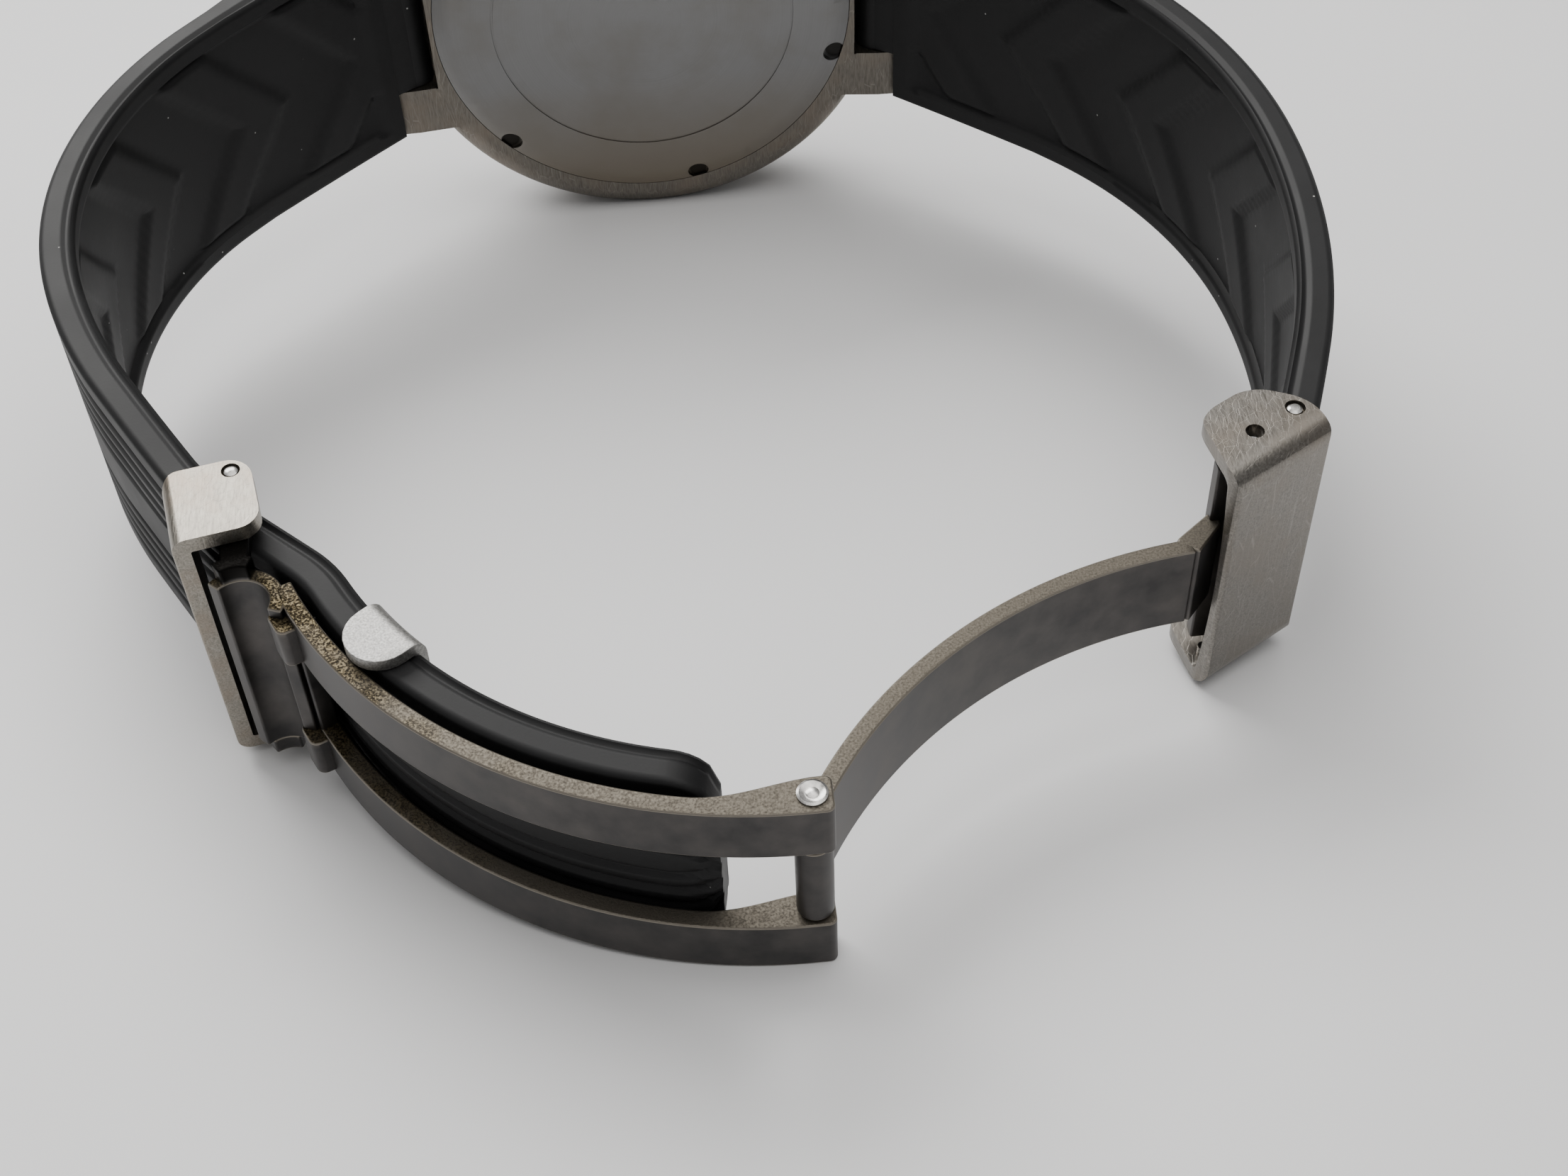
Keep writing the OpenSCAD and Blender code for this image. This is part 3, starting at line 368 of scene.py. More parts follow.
satin_steel = brushed_steel("satin_brushed_steel", "#75716a", "#a8a399", (1.0, 0.12, 1.0), "#8c7e70", 0.36)
worn_steel = brushed_steel("worn_brushed_steel", "#65625d", "#8f8b85", (1.0, 0.12, 1.0), "#7d766d", 0.34)
clasp_half = 10.75
sheet = 1.15


def rounded_face(bm, points, cuts):
    """A flat face through the points, with each corner rounded back by its own cut."""
    verts = [bm.verts.new(point) for point in points]
    bm.faces.new(verts)
    for vert, cut in zip(verts, cuts):
        if cut > 0:
            bmesh.ops.bevel(bm, geom=[vert], offset=cut, offset_type="OFFSET", segments=6,
                            profile=0.5, affect="VERTICES", material=-1)


def pushed(bm, vector):
    """Makes a solid by pushing every face of a flat drawing along a vector."""
    result = bmesh.ops.extrude_face_region(bm, geom=list(bm.faces), use_keep_orig=True)["geom"]
    moved = [item for item in result if isinstance(item, bmesh.types.BMVert)]
    bmesh.ops.translate(bm, verts=moved, vec=vector)
    bmesh.ops.recalc_face_normals(bm, faces=bm.faces)


def modify(piece, kind, **settings):
    modifier = piece.modifiers.new(kind.lower(), kind)
    for name, value in settings.items():
        setattr(modifier, name, value)


def settle(piece):
    """Applies a piece's modifiers to its mesh."""
    depsgraph = bpy.context.evaluated_depsgraph_get()
    mesh = bpy.data.meshes.new_from_object(piece.evaluated_get(depsgraph))
    piece.modifiers.clear()
    piece.data = mesh


def cut_with(piece, bm, place, operation="DIFFERENCE"):
    """Cuts a piece with a solid given in the watch's millimetres, or keeps only what it covers."""
    bmesh.ops.transform(bm, matrix=place, verts=bm.verts)
    cutter = add_object("cutter", bm, piece.data.materials[0])
    modify(piece, "BOOLEAN", operation=operation, object=cutter, solver="EXACT")
    settle(piece)
    bpy.data.objects.remove(cutter)


def drilled(piece, x, y, radius, bottom, place=Matrix.Identity(4)):
    """Drills round holes from both sides of the strap's width, down to a depth."""
    for side in (-1, 1):
        bm = bmesh.new()
        bmesh.ops.create_cone(bm, segments=48, radius1=radius, radius2=radius, depth=12, cap_ends=True)
        bmesh.ops.translate(bm, verts=bm.verts, vec=(x, y, side * (bottom + 6)))
        cut_with(piece, bm, place)


def round_edges(piece, width_mm, segments=3, degrees=35.0):
    """Breaks a piece's sharp edges, as tumbling or a deburring wheel does."""
    modify(piece, "BEVEL", width=width_mm / 1000, segments=segments, limit_method="ANGLE",
           angle_limit=math.radians(degrees), harden_normals=False, use_clamp_overlap=True)
    settle(piece)
    piece.data.shade_smooth()
    piece.data.set_sharp_from_angle(angle=math.radians(50))
    modify(piece, "WEIGHTED_NORMAL", keep_sharp=True)
    settle(piece)


def bent_channel(name, material, place, length, depth, fold, outline, cuts, crown_mm):
    """A channel with folds of one radius, trimmed in plan to a rounded outline."""
    inner = clasp_half - sheet
    top = depth + 1.0
    bm = bmesh.new()
    section = [(top, -clasp_half), (0, -clasp_half), (0, clasp_half), (top, clasp_half),
               (top, inner), (sheet, inner), (sheet, -inner), (top, -inner)]
    inside = max(0.15, fold - sheet)
    rounded_face(bm, [(-1.0, y, z) for y, z in section], (0, fold, fold, 0, 0, inside, inside, 0))
    pushed(bm, (length + 2.0, 0, 0))
    long_lines = [edge for edge in bm.edges if abs(edge.verts[0].co.z - edge.verts[1].co.z) > clasp_half]
    bmesh.ops.subdivide_edges(bm, edges=long_lines, cuts=11, use_grid_fill=True)
    for vert in bm.verts:
        bulge = max(0.0, 1.0 - (vert.co.z / (clasp_half - fold)) ** 2)
        if vert.co.y < sheet + 0.01:
            vert.co.y -= crown_mm * bulge
    bmesh.ops.transform(bm, matrix=place, verts=bm.verts)
    piece = add_object(name, bm, material)
    bm = bmesh.new()
    rounded_face(bm, [(x, y, -clasp_half - 1) for x, y in outline], cuts)
    pushed(bm, (0, 0, 2 * clasp_half + 2))
    cut_with(piece, bm, place, "INTERSECT")
    return piece


lock_bar = place_on_watch("buckle_lift")
buckle_turn = math.radians(-78.9)
buckle_place = Matrix.Translation(lock_bar - Vector((4.7, 0, 0))) @ Matrix.Rotation(buckle_turn, 4, "Z")
buckle_outline = [(-0.1, 0.0), (6.2, 0.0), (6.2, 5.9), (-0.1, 5.9)]
strap_buckle = bent_channel("strap_buckle_shell", satin_steel, buckle_place, 6.2, 5.9, 1.0, buckle_outline,
                            (1.3, 0.15, 1.5, 1.7), 0.0)
bm = bmesh.new()
bmesh.ops.create_cube(bm, size=1.0)
bmesh.ops.scale(bm, vec=(3.0, 3.0, 2 * (clasp_half - sheet)), verts=bm.verts)
cut_with(strap_buckle, bm, buckle_place @ Matrix.Translation((0.1, 0.0, 0.0)))
drilled(strap_buckle, lock_bar.x, lock_bar.y, 0.62, clasp_half - 0.6)
round_edges(strap_buckle, 0.13)
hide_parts("strap_buckle")
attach(strap_buckle, "buckle")

cover_pivot = place_on_watch("cover_pivot")
cover_place = (Matrix.Translation(cover_pivot) @ Matrix.Rotation(cover_tilt, 4, "Z")
               @ Matrix.Translation((-3.7, -2.69, 0)))
cover_outline = [(0.0, 0.0), (8.4, 0.0), (8.4, 3.0), (6.3, 5.95), (2.5, 5.95), (1.5, 5.3), (0.05, 1.3)]
clasp_cover = bent_channel("clasp_cover_shell", worn_steel, cover_place, 8.4, 5.95, 1.8, cover_outline,
                           (0.35, 0.5, 0.9, 1.4, 0.8, 0.9, 0.3), 0.4)
drilled(clasp_cover, cover_pivot.x, cover_pivot.y, 0.62, 8.0)
drilled(clasp_cover, strap_pin.x, strap_pin.y, 0.68, clasp_half - 0.5)
round_edges(clasp_cover, 0.13)
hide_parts("clasp_cover")
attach(clasp_cover, "cover")

# ------------------------------------------------------------------ front blade
# Two stamped rails bent to the wrist's curve, with a trough and catch ears at the buckle end and a
# riveted eye at the hinge. Its sheared edges were left rough; its broad faces were tumbled.

def facing_width(material, low, high):
    """1 on faces that look along the strap's width, 0 on those that look across the loop."""
    normal = add(material, "TexCoord", out="Normal")
    dot = add(material, "VectorMath", {0: normal, 1: width_axis}, out="Value", operation="DOT_PRODUCT")
    size = add(material, "Math", {0: dot}, operation="ABSOLUTE")
    return add(material, "MapRange", {"Value": size, "From Min": low, "From Max": high})


def rise(material, mm, axis, start, end):
    """Runs from 0 to 1 between two places along one of the watch's axes."""
    place = add(material, "SeparateXYZ", {"Vector": mm}, out=axis)
    return add(material, "MapRange", {"Value": place, "From Min": start, "From Max": end})


# Stamped steel, tumbled to a dull dark grey on its broad faces. Its sheared edges are pitted and hold
# brown grime, with grit of about 0.15 mm, and are worn smooth towards the hinge. The corners between
# the two are rubbed bright, with a painted highlight along the bevels. The arms inside the buckle are
# painted near black, as painted shade from the buckle's flange above them.
def stamped_steel():
    material, mm = new_material("stamped_blade_steel")
    # painted shade: the arms under the buckle's flange, beyond 8.3 mm across the width, are painted near black
    arms_painted_shade = rise(material, mm, "Z", 8.3, 8.5)
    rim = facing_width(material, 0.75, 0.95)
    not_rim = add(material, "Math", {0: 1.0, 1: facing_width(material, 0.8, 0.95)}, operation="SUBTRACT")
    # the bevels between broad faces and sheared edges: rubbed bright, plus a painted highlight along them
    corner = add(material, "Math", {0: facing_width(material, 0.1, 0.3), 1: not_rim}, operation="MULTIPLY")
    rubbed_edge_highlight = add(material, "Math", {0: corner, 1: 0.6}, operation="MULTIPLY")
    haze = add(material, "TexNoise", {"Vector": mm, "Scale": 1 / 2.6, "Detail": 5.0, "Roughness": 0.55})
    pits = add(material, "TexNoise", {"Vector": mm, "Scale": 1 / 0.15, "Detail": 4.0, "Roughness": 0.6})
    patches = add(material, "TexNoise", {"Vector": mm, "Scale": 1 / 3.2, "Detail": 2.0, "Roughness": 0.55})
    worn = add(material, "ValToRGB", {"Fac": patches}, stops=((0.4, 0.0), (0.62, 0.5)))
    worn = add(material, "Math", {0: worn, 1: rise(material, mm, "X", -24.0, -10.0)}, operation="ADD")
    worn_colour = add(material, "Math", {0: worn, 1: 0.97}, operation="MINIMUM")
    worn_relief = add(material, "Math", {0: worn, 1: 0.85}, operation="MINIMUM")
    rough_relief = add(material, "Math", {0: 1.0, 1: worn_relief}, operation="SUBTRACT")

    broad = add(material, "ValToRGB", {"Fac": haze}, stops=((0.3, "#3f3e3e"), (0.7, "#585553")))
    pitted = add(material, "ValToRGB", {"Fac": pits},
                 stops=((0.38, "#1b1711"), (0.5, "#463e2e"), (0.64, "#6b614c")))
    smoothed = add(material, "ValToRGB", {"Fac": pits}, stops=((0.3, "#544f48"), (0.7, "#6b665d")))
    edge = add(material, "Mix", {0: worn_colour, 6: pitted, 7: smoothed}, out=2, data_type="RGBA")
    tone = add(material, "Mix", {0: rim, 6: broad, 7: edge}, out=2, data_type="RGBA")
    # the bevels are lightened here: rubbed wear and a painted highlight
    tone = add(material, "Mix", {0: rubbed_edge_highlight, 6: tone, 7: "#a39b8e"}, out=2, data_type="RGBA")

    broad_gloss = add(material, "ValToRGB", {"Fac": haze}, stops=((0.2, 0.36), (0.8, 0.48)))
    pitted_gloss = add(material, "ValToRGB", {"Fac": pits}, stops=((0.3, 0.7), (0.6, 0.46)))
    pit_height = add(material, "ValToRGB", {"Fac": pits}, stops=((0.36, 0.0), (0.52, 1.0)))
    rim_relief = add(material, "Math", {0: rim, 1: rough_relief}, operation="MULTIPLY")
    height = add(material, "Math", {0: pit_height, 1: rim_relief}, operation="MULTIPLY")
    return shaded(material, {
        # the arms take the near-black painted shade here
        "Base Color": add(material, "Mix", {0: arms_painted_shade, 6: tone, 7: "#141312"}, out=2, data_type="RGBA"),
        "Metallic": 1.0,
        "Roughness": add(material, "Mix", {0: rim, 6: broad_gloss, 7: pitted_gloss}, out=2,
                         data_type="RGBA"),
        "Normal": add(material, "Bump", {"Height": height, "Strength": 0.5, "Distance": 0.05 / 1000})})


blade_steel = stamped_steel()
rail_in = 3.85
rail_out = 8.2
rail_start = 203.0
rail_end = 270.0
rail_eye = 1.25
hinge_eye_t = 2.65
trough_in = 1.9
trough_out = 2.9
arm_in = 8.48
arm_out = 9.5
ear_in = 4.1


def swept_ring(bm, centre, r_in, r_out, low, high, start, end, steps):
    """A curved bar: a rectangle turned about a centre, between two angles in degrees."""
    direction = Vector((math.cos(math.radians(start)), math.sin(math.radians(start)), 0))
    corners = [centre + direction * r + Vector((0, 0, z))
               for r, z in ((r_in, low), (r_out, low), (r_out, high), (r_in, high))]
    verts = [bm.verts.new(corner) for corner in corners]
    face = bm.faces.new(verts)
    result = bmesh.ops.spin(bm, geom=[face, *face.edges, *face.verts], cent=centre, axis=(0, 0, 1),
                            angle=math.radians(end - start), steps=steps, use_duplicate=False)
    return [item for item in result["geom_last"] if isinstance(item, bmesh.types.BMFace)]


def bar_between(bm, outline, cuts, low, high):
    """A flat plate of a rounded outline, between two places along the strap's width."""
    plate = bmesh.new()
    rounded_face(plate, [(x, y, low) for x, y in outline], cuts)
    pushed(plate, (0, 0, high - low))
    mesh = bpy.data.meshes.new("plate")
    plate.to_mesh(mesh)
    plate.free()
    bm.from_mesh(mesh)
    bpy.data.meshes.remove(mesh)


def polar(centre, radius, degrees):
    return centre + radius * Vector((math.cos(math.radians(degrees)), math.sin(math.radians(degrees)), 0))


def finish_steel(name, bm, node, body, material, break_mm):
    """Turns a bmesh into a finished piece that stands for a built node."""
    bmesh.ops.recalc_face_normals(bm, faces=bm.faces)
    piece = add_object(name, bm, material)
    round_edges(piece, break_mm)
    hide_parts(node)
    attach(piece, body)
    return piece


pivot_folded = polar(blade_centre, blade_r + 2.26, 203.2)
bm = bmesh.new()
for side in (-1, 1):
    low, high = sorted((side * rail_in, side * rail_out))
    ends = swept_ring(bm, blade_centre, blade_r - blade_t, blade_r, low, high, rail_start, rail_end, 56)
    pulled = bmesh.ops.extrude_face_region(bm, geom=ends, use_keep_orig=False)["geom"]
    bmesh.ops.translate(bm, verts=[v for v in pulled if isinstance(v, bmesh.types.BMVert)],
                        vec=(rail_eye, 0, 0))
    bmesh.ops.delete(bm, geom=ends, context="FACES_ONLY")
    ear = ((blade_r - 0.3, 204.6), (blade_r + 1.1, 204.7), (blade_r + 1.1, 208.2), (blade_r - 0.3, 208.4))
    bar_between(bm, [tuple(polar(blade_centre, r, a))[:2] for r, a in ear],
                (0, 0.6, 0.6, 0), *sorted((side * ear_in, side * (rail_out - 0.8))))
    shoulder = polar(pivot_folded, 2.4, 95)
    along = (shoulder - lock_bar).normalized()
    across = Vector((-along.y, along.x, 0))
    bar_between(bm, [tuple(p)[:2] for p in (lock_bar - along * 1.3 - across * 1.1, shoulder - across * 0.9,
                                            shoulder + along * 0.6 + across * 0.9,
                                            lock_bar - along * 1.3 + across * 1.1)],
                (1.0, 0.3, 0.3, 1.0), *sorted((side * arm_in, side * arm_out)))
    swept_ring(bm, pivot_folded, trough_in, trough_out,
               *sorted((side * (rail_out - 0.1), side * arm_out)), 70, 125, 12)
for vert in bm.verts:
    arm_angle = math.degrees(math.atan2(vert.co.y - blade_centre.y, vert.co.x - blade_centre.x)) % 360
    radius = (vert.co.xy - blade_centre.xy).length
    if radius < blade_r - 0.5 and arm_angle > 258.0:
        vert.co.y += (hinge_eye_t - blade_t) * smooth(257.5, 271.0, arm_angle)
end_x = hinge_place.x + rail_eye
corners = [edge for edge in bm.edges if all(abs(v.co.x - end_x) < 1e-3 for v in edge.verts)
           and abs(edge.verts[0].co.z - edge.verts[1].co.z) > 1.0]
bmesh.ops.bevel(bm, geom=corners, offset=0.5, offset_type="OFFSET", segments=5, profile=0.5,
                affect="EDGES", material=-1)
swept_ring(bm, pivot_folded, trough_in, trough_out, -rail_out, rail_out, -22, 138, 20)
swept_ring(bm, blade_centre, blade_r - blade_t, blade_r - 0.02, -rail_in - 0.3, rail_in + 0.3,
           205.5, 207.1, 3)
finish_steel("front_blade_rails", bm, "front_blade", "front_blade", blade_steel, 0.16)

# ------------------------------------------------------------------ rear blade
# One stamped strip that folds into the slot between the rails, with a rolled knuckle on the hinge
# pin and a wide bent foot that carries the cover.
fold_open = math.radians(245.6)
swing = (Matrix.Translation(hinge_place) @ Matrix.Rotation(fold_open, 4, "Z")
         @ Matrix.Translation(-hinge_place))
blade_half = rail_in - 0.25
bm = bmesh.new()
swept_ring(bm, blade_centre, blade_r - blade_t, blade_r, -blade_half, blade_half, 209.6, 268.6, 52)
heel = ((blade_r - blade_t, 209.2), (blade_r - 0.05, 211.6), (blade_r + 2.1, 206.6), (blade_r + 1.1, 205.5))
bar_between(bm, [tuple(polar(blade_centre, r, a))[:2] for r, a in heel],
            (0.15, 0.6, 0.3, 0.5), -blade_half, blade_half)
swept_ring(bm, blade_centre, blade_r + 1.25, blade_r + 2.35, -8.6, 8.6, 203.4, 206.9, 6)
for radius, half, place in ((1.2, blade_half, hinge_place), (1.25, 8.6, pivot_folded)):
    ring = bmesh.ops.create_cone(bm, segments=40, radius1=radius, radius2=radius, depth=half * 2,
                                 cap_ends=True)
    bmesh.ops.translate(bm, verts=ring["verts"], vec=place)
bmesh.ops.transform(bm, matrix=swing, verts=bm.verts)
finish_steel("rear_blade_strip", bm, "rear_blade", "rear_blade", blade_steel, 0.16)

# ------------------------------------------------------------------ strap keeper
# A bent strip of bead-blasted steel round the strap's tail. Its back lies on the wrist side and its
# two round lips fold over the tail's edges.

# Bead-blasted stainless steel: an even frosted grey, from glass beads of about 0.14 mm.
def blasted_steel():
    material, mm = new_material("bead_blasted_steel")
    grit = add(material, "TexNoise", {"Vector": mm, "Scale": 1 / 0.14, "Detail": 2.0, "Roughness": 0.5})
    return shaded(material, {
        "Base Color": add(material, "ValToRGB", {"Fac": grit}, stops=((0.3, "#868583"), (0.7, "#b6b5b2"))),
        "Metallic": 1.0,
        "Roughness": 0.48,
        "Normal": add(material, "Bump", {"Height": grit, "Strength": 0.35, "Distance": 0.03 / 1000})})


frosted_steel = blasted_steel()
keeper_at = 217.5
keeper_span = 4.5
back_r = tail_radius - strap_t / 2 - 0.12
lip_out = 9.4
lip_in = 8.5
lip_end = back_r + 4.0
keeper_t = 0.8
start = polar(Vector((0, 0, 0)), 1.0, keeper_at - 2 * keeper_span)
bm = bmesh.new()
section = [(lip_end, -lip_out), (back_r - keeper_t, -lip_out), (back_r - keeper_t, lip_out),
           (lip_end, lip_out), (lip_end, lip_in), (back_r, lip_in), (back_r, -lip_in), (lip_end, -lip_in)]
rounded_face(bm, [blade_centre + start * r + Vector((0, 0, z)) for r, z in section],
             (0, 1.1, 1.1, 0, 0, 0.3, 0.3, 0))
bmesh.ops.spin(bm, geom=[*bm.faces, *bm.edges, *bm.verts], cent=blade_centre, axis=(0, 0, 1),
               angle=math.radians(4 * keeper_span), steps=18, use_duplicate=False)
bmesh.ops.recalc_face_normals(bm, faces=bm.faces)
strap_keeper = add_object("strap_keeper_band", bm, frosted_steel)
plan = [(back_r - 1.5, keeper_at - keeper_span), (back_r + 3.2, keeper_at - keeper_span * 0.88),
        (back_r + 3.2, keeper_at + keeper_span * 0.88), (back_r - 1.5, keeper_at + keeper_span)]
bm = bmesh.new()
bar_between(bm, [tuple(polar(blade_centre, r, a))[:2] for r, a in plan], (0, 2.3, 2.3, 0), -12, 12)
cut_with(strap_keeper, bm, Matrix.Identity(4), "INTERSECT")
round_edges(strap_keeper, 0.2, 4)
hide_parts("strap_keeper")
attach(strap_keeper, "front_blade")

# ------------------------------------------------------------------ pins and bars
# Turned steel bars with domed ends, riveted or sprung into the walls of the clasp.

# Turned steel: a close bright polish with faint turning marks about 0.5 mm apart.
def turned_steel():
    material, mm = new_material("turned_pin_steel")
    marks = add(material, "TexNoise", {"Vector": mm, "Scale": 1 / 0.5, "Detail": 3.0, "Roughness": 0.55})
    return shaded(material, {
        "Base Color": add(material, "ValToRGB", {"Fac": marks}, stops=((0.3, "#9c9a97"), (0.7, "#d0cecb"))),
        "Metallic": 1.0,
        "Roughness": add(material, "ValToRGB", {"Fac": marks}, stops=((0.2, 0.2), (0.8, 0.32)))})


pin_steel = turned_steel()


def turned_bar(name, node, body, place, profile, material):
    """A bar turned in the lathe: a half profile of (radius, height) points, mirrored end to end."""
    bm = bmesh.new()
    points = [(r, h) for r, h in profile] + [(r, -h) for r, h in reversed(profile)]
    verts = [bm.verts.new((place.x + r, place.y, h)) for r, h in points]
    edges = [bm.edges.new(pair) for pair in zip(verts, verts[1:])]
    bmesh.ops.spin(bm, geom=edges + verts, cent=place, axis=(0, 0, 1), angle=2 * math.pi, steps=40,
                   use_merge=True, use_duplicate=False)
    bmesh.ops.remove_doubles(bm, verts=bm.verts, dist=1e-4)
    bmesh.ops.recalc_face_normals(bm, faces=bm.faces)
    piece = add_object(name, bm, material, 30.0)
    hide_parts(node)
    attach(piece, body)


pin_top = rail_out + 0.22
turned_bar("hinge_rivet", "hinge_pin", "front_blade", hinge_place,
           ((0.0, pin_top - 0.03), (0.3, pin_top - 0.05), (0.42, pin_top - 0.12), (0.55, pin_top - 0.12),
            (0.8, pin_top), (0.95, pin_top - 0.08), (0.98, rail_out - 0.02), (0.75, rail_out - 0.03),
            (0.75, 0.0)), pin_steel)
bar_top = clasp_half + 0.03
turned_bar("buckle_lock_bar", "lock_bar", "front_blade", lock_bar,
           ((0.0, bar_top), (0.3, bar_top - 0.02), (0.46, bar_top - 0.12), (0.5, bar_top - 0.3),
            (0.5, 9.55), (0.62, 9.5), (0.62, 0.0)), pin_steel)
turned_bar("cover_hinge_bar", "cover_pivot_bar", "cover", cover_pivot,
           ((0.0, 9.85), (0.3, 9.83), (0.45, 9.72), (0.5, 9.6), (0.5, 0.0)), pin_steel)
turned_bar("strap_bar_ends", "strap_bar_tips", "cover", strap_pin,
           ((0.0, bar_top), (0.32, bar_top - 0.02), (0.5, bar_top - 0.14), (0.54, bar_top - 0.3),
            (0.54, 9.4), (0.5, 0.0)), pin_steel)

# ------------------------------------------------------------------ case, bezel and crown
# Machined steel case with satin sides, its screwed back turned in the lathe, and a ribbed bezel.
# Each is a copy of the built piece with its edges broken, as a polishing wheel does.
case_steel = brushed_steel("satin_case_steel", "#625e58", "#837e76", (1.0, 0.3, 0.12), "#80766b", 0.4)
notch_circle = 17.6
notch_step = math.radians(60.0)
notch_first = math.radians(17.0)


# Lathe-turned stainless steel, worn to an even grey with faint rings 0.2 mm apart. It is warmer low
# down, where it takes the light of the table, and the opener's notches are painted dark as the shade inside them.
def back_steel():
    material, mm = new_material("turned_case_back_steel")
    flat = add(material, "Mapping", {"Vector": mm, "Scale": (1.0, 0.0, 1.0)})
    radius = add(material, "VectorMath", {0: flat}, out="Value", operation="LENGTH")
    rings = add(material, "TexNoise", {"Vector": radius, "Scale": 5.0, "Detail": 3.0})
    cloud = add(material, "TexNoise", {"Vector": mm, "Scale": 1 / 6.0, "Detail": 4.0, "Roughness": 0.55})
    stained = add(material, "ValToRGB", {"Fac": cloud}, stops=((0.45, 0.0), (0.75, 0.6)))
    tone = add(material, "ValToRGB", {"Fac": rings}, stops=((0.3, "#7f7f7f"), (0.7, "#858585")))
    tone = add(material, "Mix", {0: stained, 6: tone, 7: "#77746f"}, out=2, data_type="RGBA")
    low = rise(material, mm, "Z", -6.0, -19.0)
    tone = add(material, "Mix", {0: low, 6: tone, 7: "#7d7466"}, out=2, data_type="RGBA")

    # painted shade in the opener's six notches: near black close to each notch's place on the 17.6 mm circle
    up = add(material, "Math", {0: add(material, "SeparateXYZ", {"Vector": mm}, out="Z"), 1: -1.0},
             operation="MULTIPLY")
    turn = add(material, "Math", {0: up, 1: add(material, "SeparateXYZ", {"Vector": mm}, out="X")},
               operation="ARCTAN2")
    shifted = add(material, "Math", {0: turn, 1: notch_step / 2 - notch_first}, operation="ADD")
    share = add(material, "Math", {0: shifted, 1: notch_step}, operation="FLOORED_MODULO")
    off_notch = add(material, "Math", {0: share, 1: notch_step / 2}, operation="SUBTRACT")
    sideways = add(material, "Math", {0: off_notch, 1: 17.5}, operation="MULTIPLY")
    outward = add(material, "Math", {0: radius, 1: notch_circle}, operation="SUBTRACT")
    sideways = add(material, "Math", {0: sideways, 1: sideways}, operation="MULTIPLY")
    outward = add(material, "Math", {0: outward, 1: outward}, operation="MULTIPLY")
    near = add(material, "Math", {0: sideways, 1: outward}, operation="ADD")
    notch_painted_shade = add(material, "ValToRGB", {"Fac": near}, stops=((0.5, 0.92), (1.0, 0.0)))
    return shaded(material, {
        "Base Color": add(material, "Mix", {0: notch_painted_shade, 6: tone, 7: "#1b1917"}, out=2, data_type="RGBA"),
        "Metallic": 1.0,
        "Roughness": add(material, "ValToRGB", {"Fac": rings}, stops=((0.2, 0.36), (0.8, 0.5))),
        "Normal": add(material, "Bump", {"Height": rings, "Strength": 0.08, "Distance": 0.01 / 1000})})


def worked_copy(node, body, material, width_mm, segments=2, degrees=30.0):
    """A copy of a built piece with its facets merged and its edges broken.

    It is split in four about the case's axis first, so that no merged face has a hole in it.
    """
    bm = bmesh.new()
    bm.from_mesh(frame["nodes"][node].data)
    bmesh.ops.remove_doubles(bm, verts=bm.verts, dist=2e-6)
    bmesh.ops.transform(bm, matrix=back_to_watch, verts=bm.verts)
    for axis in ((1, 0, 0), (0, 0, 1)):
        cut = bmesh.ops.bisect_plane(bm, geom=[*bm.verts, *bm.edges, *bm.faces], dist=1e-4,
                                     plane_co=(0, 0, 0), plane_no=axis)["geom_cut"]
        for item in cut:
            if isinstance(item, bmesh.types.BMEdge):
                item.seam = True
    bmesh.ops.dissolve_limit(bm, angle_limit=math.radians(0.6), verts=bm.verts, edges=bm.edges,
                             delimit={"SEAM"})
    piece = add_object(node + "_worked", bm, material)
    round_edges(piece, width_mm, segments, degrees)
    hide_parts(node)
    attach(piece, body)
    return piece


worked_copy("case_middle", "case", case_steel, 0.25, 3)
worked_copy("case_back", "case", back_steel(), 0.18, 2)
worked_copy("bezel", "bezel", case_steel, 0.12, 2)
worked_copy("crown", "crown", case_steel, 0.1, 2)

# ------------------------------------------------------------------ everything else
# Seals, crystal, dial, hands and the movement: small pieces that keep their built meshes. Each gets
# the finish of its own slot.


# One even finish, with a slight mottle in colour and gloss about as wide as cell_mm.
def plain_finish(name, low, high, cell_mm, metallic, rough, transmission=0.0):
    material, mm = new_material(name)
    cloud = add(material, "TexNoise", {"Vector": mm, "Scale": 1 / cell_mm, "Detail": 3.0,
                                       "Roughness": 0.55})
    gloss = ((0.2, max(0.02, rough - 0.06)), (0.8, rough + 0.06))
    return shaded(material, {
        "Base Color": add(material, "ValToRGB", {"Fac": cloud}, stops=((0.3, low), (0.7, high))),
        "Metallic": metallic,
        "Roughness": add(material, "ValToRGB", {"Fac": cloud}, stops=gloss),
        "Transmission Weight": transmission})


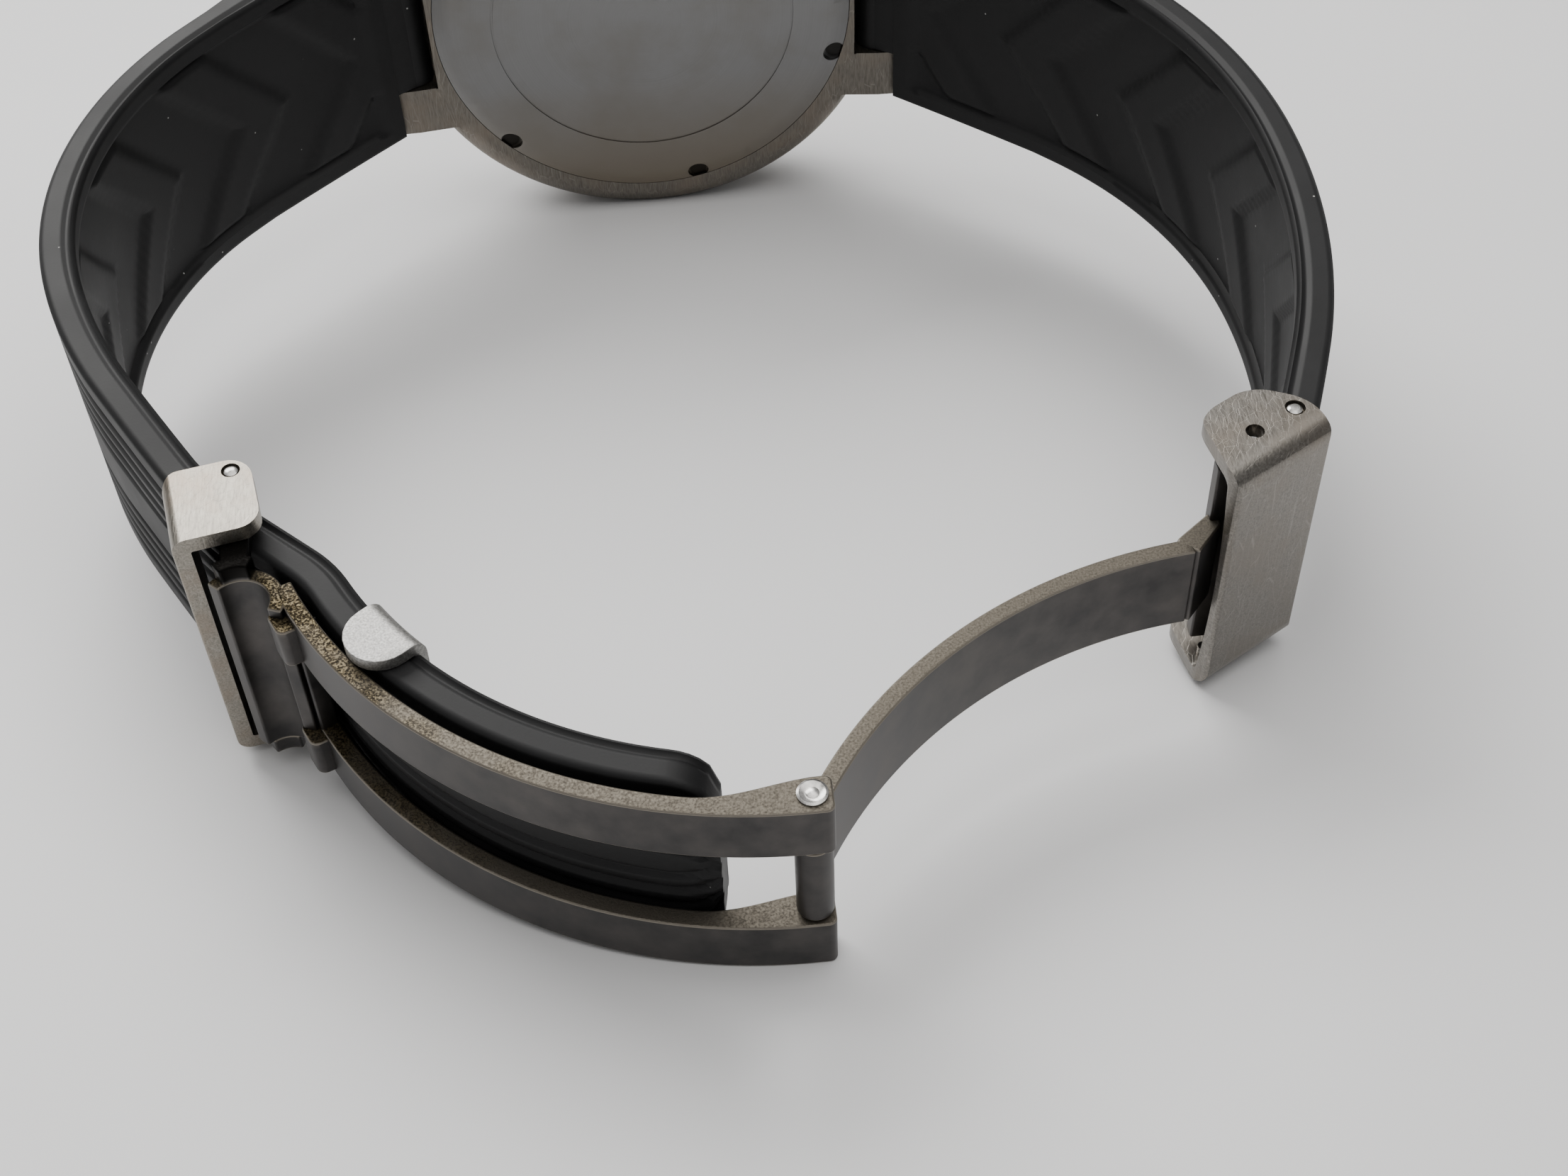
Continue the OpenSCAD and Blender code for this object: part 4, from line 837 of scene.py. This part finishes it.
finishes = {
    "seal_rubber": plain_finish("seal_rubber", "#141414", "#1f1f1f", 0.6, 0.0, 0.6),
    "nylon": plain_finish("white_nylon", "#d6d5cf", "#e6e5e0", 0.8, 0.0, 0.45),
    "sapphire": plain_finish("sapphire_crystal", "#f2f5f6", "#f8fafa", 4.0, 0.0, 0.08, 1.0),
    "dial_lacquer": plain_finish("matt_dial_lacquer", "#101114", "#181a1e", 0.4, 0.0, 0.55),
    "bezel_ceramic": plain_finish("black_ceramic", "#0c0c0d", "#141416", 1.0, 0.0, 0.18),
    "lume": plain_finish("luminous_paint", "#d9ddca", "#e8ebdc", 0.3, 0.0, 0.6),
    "movement_nickel": plain_finish("nickel_plate", "#a9a7a0", "#c6c4be", 0.5, 1.0, 0.3),
    "movement_brass": plain_finish("gilt_brass", "#b08a45", "#d0aa62", 0.4, 1.0, 0.3),
    "blued_steel": plain_finish("blued_steel", "#1c2a5a", "#2c3f7c", 0.5, 1.0, 0.25),
    "pinion_steel": plain_finish("pinion_steel", "#8f8e8b", "#b3b2ae", 0.4, 1.0, 0.25),
    "bar_steel": pin_steel,
    "clasp_steel": satin_steel,
    "case_steel": case_steel,
    "blasted_steel": frosted_steel,
    "strap_rubber": strap_rubber,
}
slots = {entry["node"]: entry["material_slot"] for entry in frame["record"]["subparts"]}
for node, built in frame["nodes"].items():
    built.data.materials.clear()
    built.data.materials.append(finishes[slots[node]])

# ------------------------------------------------------------------ floor and light
# A plain pale matt board under soft daylight from a window behind and a white ceiling.
pale_board, mm = new_material("pale_matt_board")
mottle = add(pale_board, "TexNoise", {"Vector": mm, "Scale": 1 / 60.0, "Detail": 2.0, "Roughness": 0.55})
shaded(pale_board, {
    "Base Color": add(pale_board, "ValToRGB", {"Fac": mottle}, stops=((0.3, "#dcdcdd"), (0.7, "#e0e0e1"))),
    "Roughness": 0.55})
bm = bmesh.new()
bmesh.ops.create_grid(bm, x_segments=2, y_segments=2, size=2.0)
board_mesh = bpy.data.meshes.new("board")
bm.to_mesh(board_mesh)
bm.free()
board_mesh.materials.append(pale_board)
board = bpy.data.objects.new("board", board_mesh)
bpy.context.scene.collection.objects.link(board)

world = bpy.data.worlds.new("room")
bpy.context.scene.world = world
world.use_nodes = True
height = add(world, "SeparateXYZ", {"Vector": add(world, "TexCoord", out="Generated")}, out="Z")
sky = add(world, "ValToRGB", {"Fac": height}, stops=((0.0, 0.2), (0.9, 1.0)))
background = world.node_tree.nodes["Background"]
world.node_tree.links.new(sky, background.inputs["Color"])
background.inputs["Strength"].default_value = 0.62


def soft_light(name, place, target, size, watts, tint):
    data = bpy.data.lights.new(name, "AREA")
    data.shape = "RECTANGLE"
    data.size, data.size_y = size
    data.energy = watts
    data.color = tint
    lamp = bpy.data.objects.new(name, data)
    bpy.context.scene.collection.objects.link(lamp)
    lamp.matrix_world = (Matrix.Translation(place)
                         @ (Vector(place) - Vector(target)).to_track_quat("Z", "Y").to_matrix().to_4x4())
    return lamp


soft_light("window", (-0.25, 0.55, 0.6), (0, 0, 0), (0.7, 0.5), 8.0, (1.0, 0.99, 0.97))
soft_light("ceiling", (0.1, -0.1, 0.9), (0, 0, 0), (1.0, 1.0), 6.0, (1.0, 0.98, 0.95))
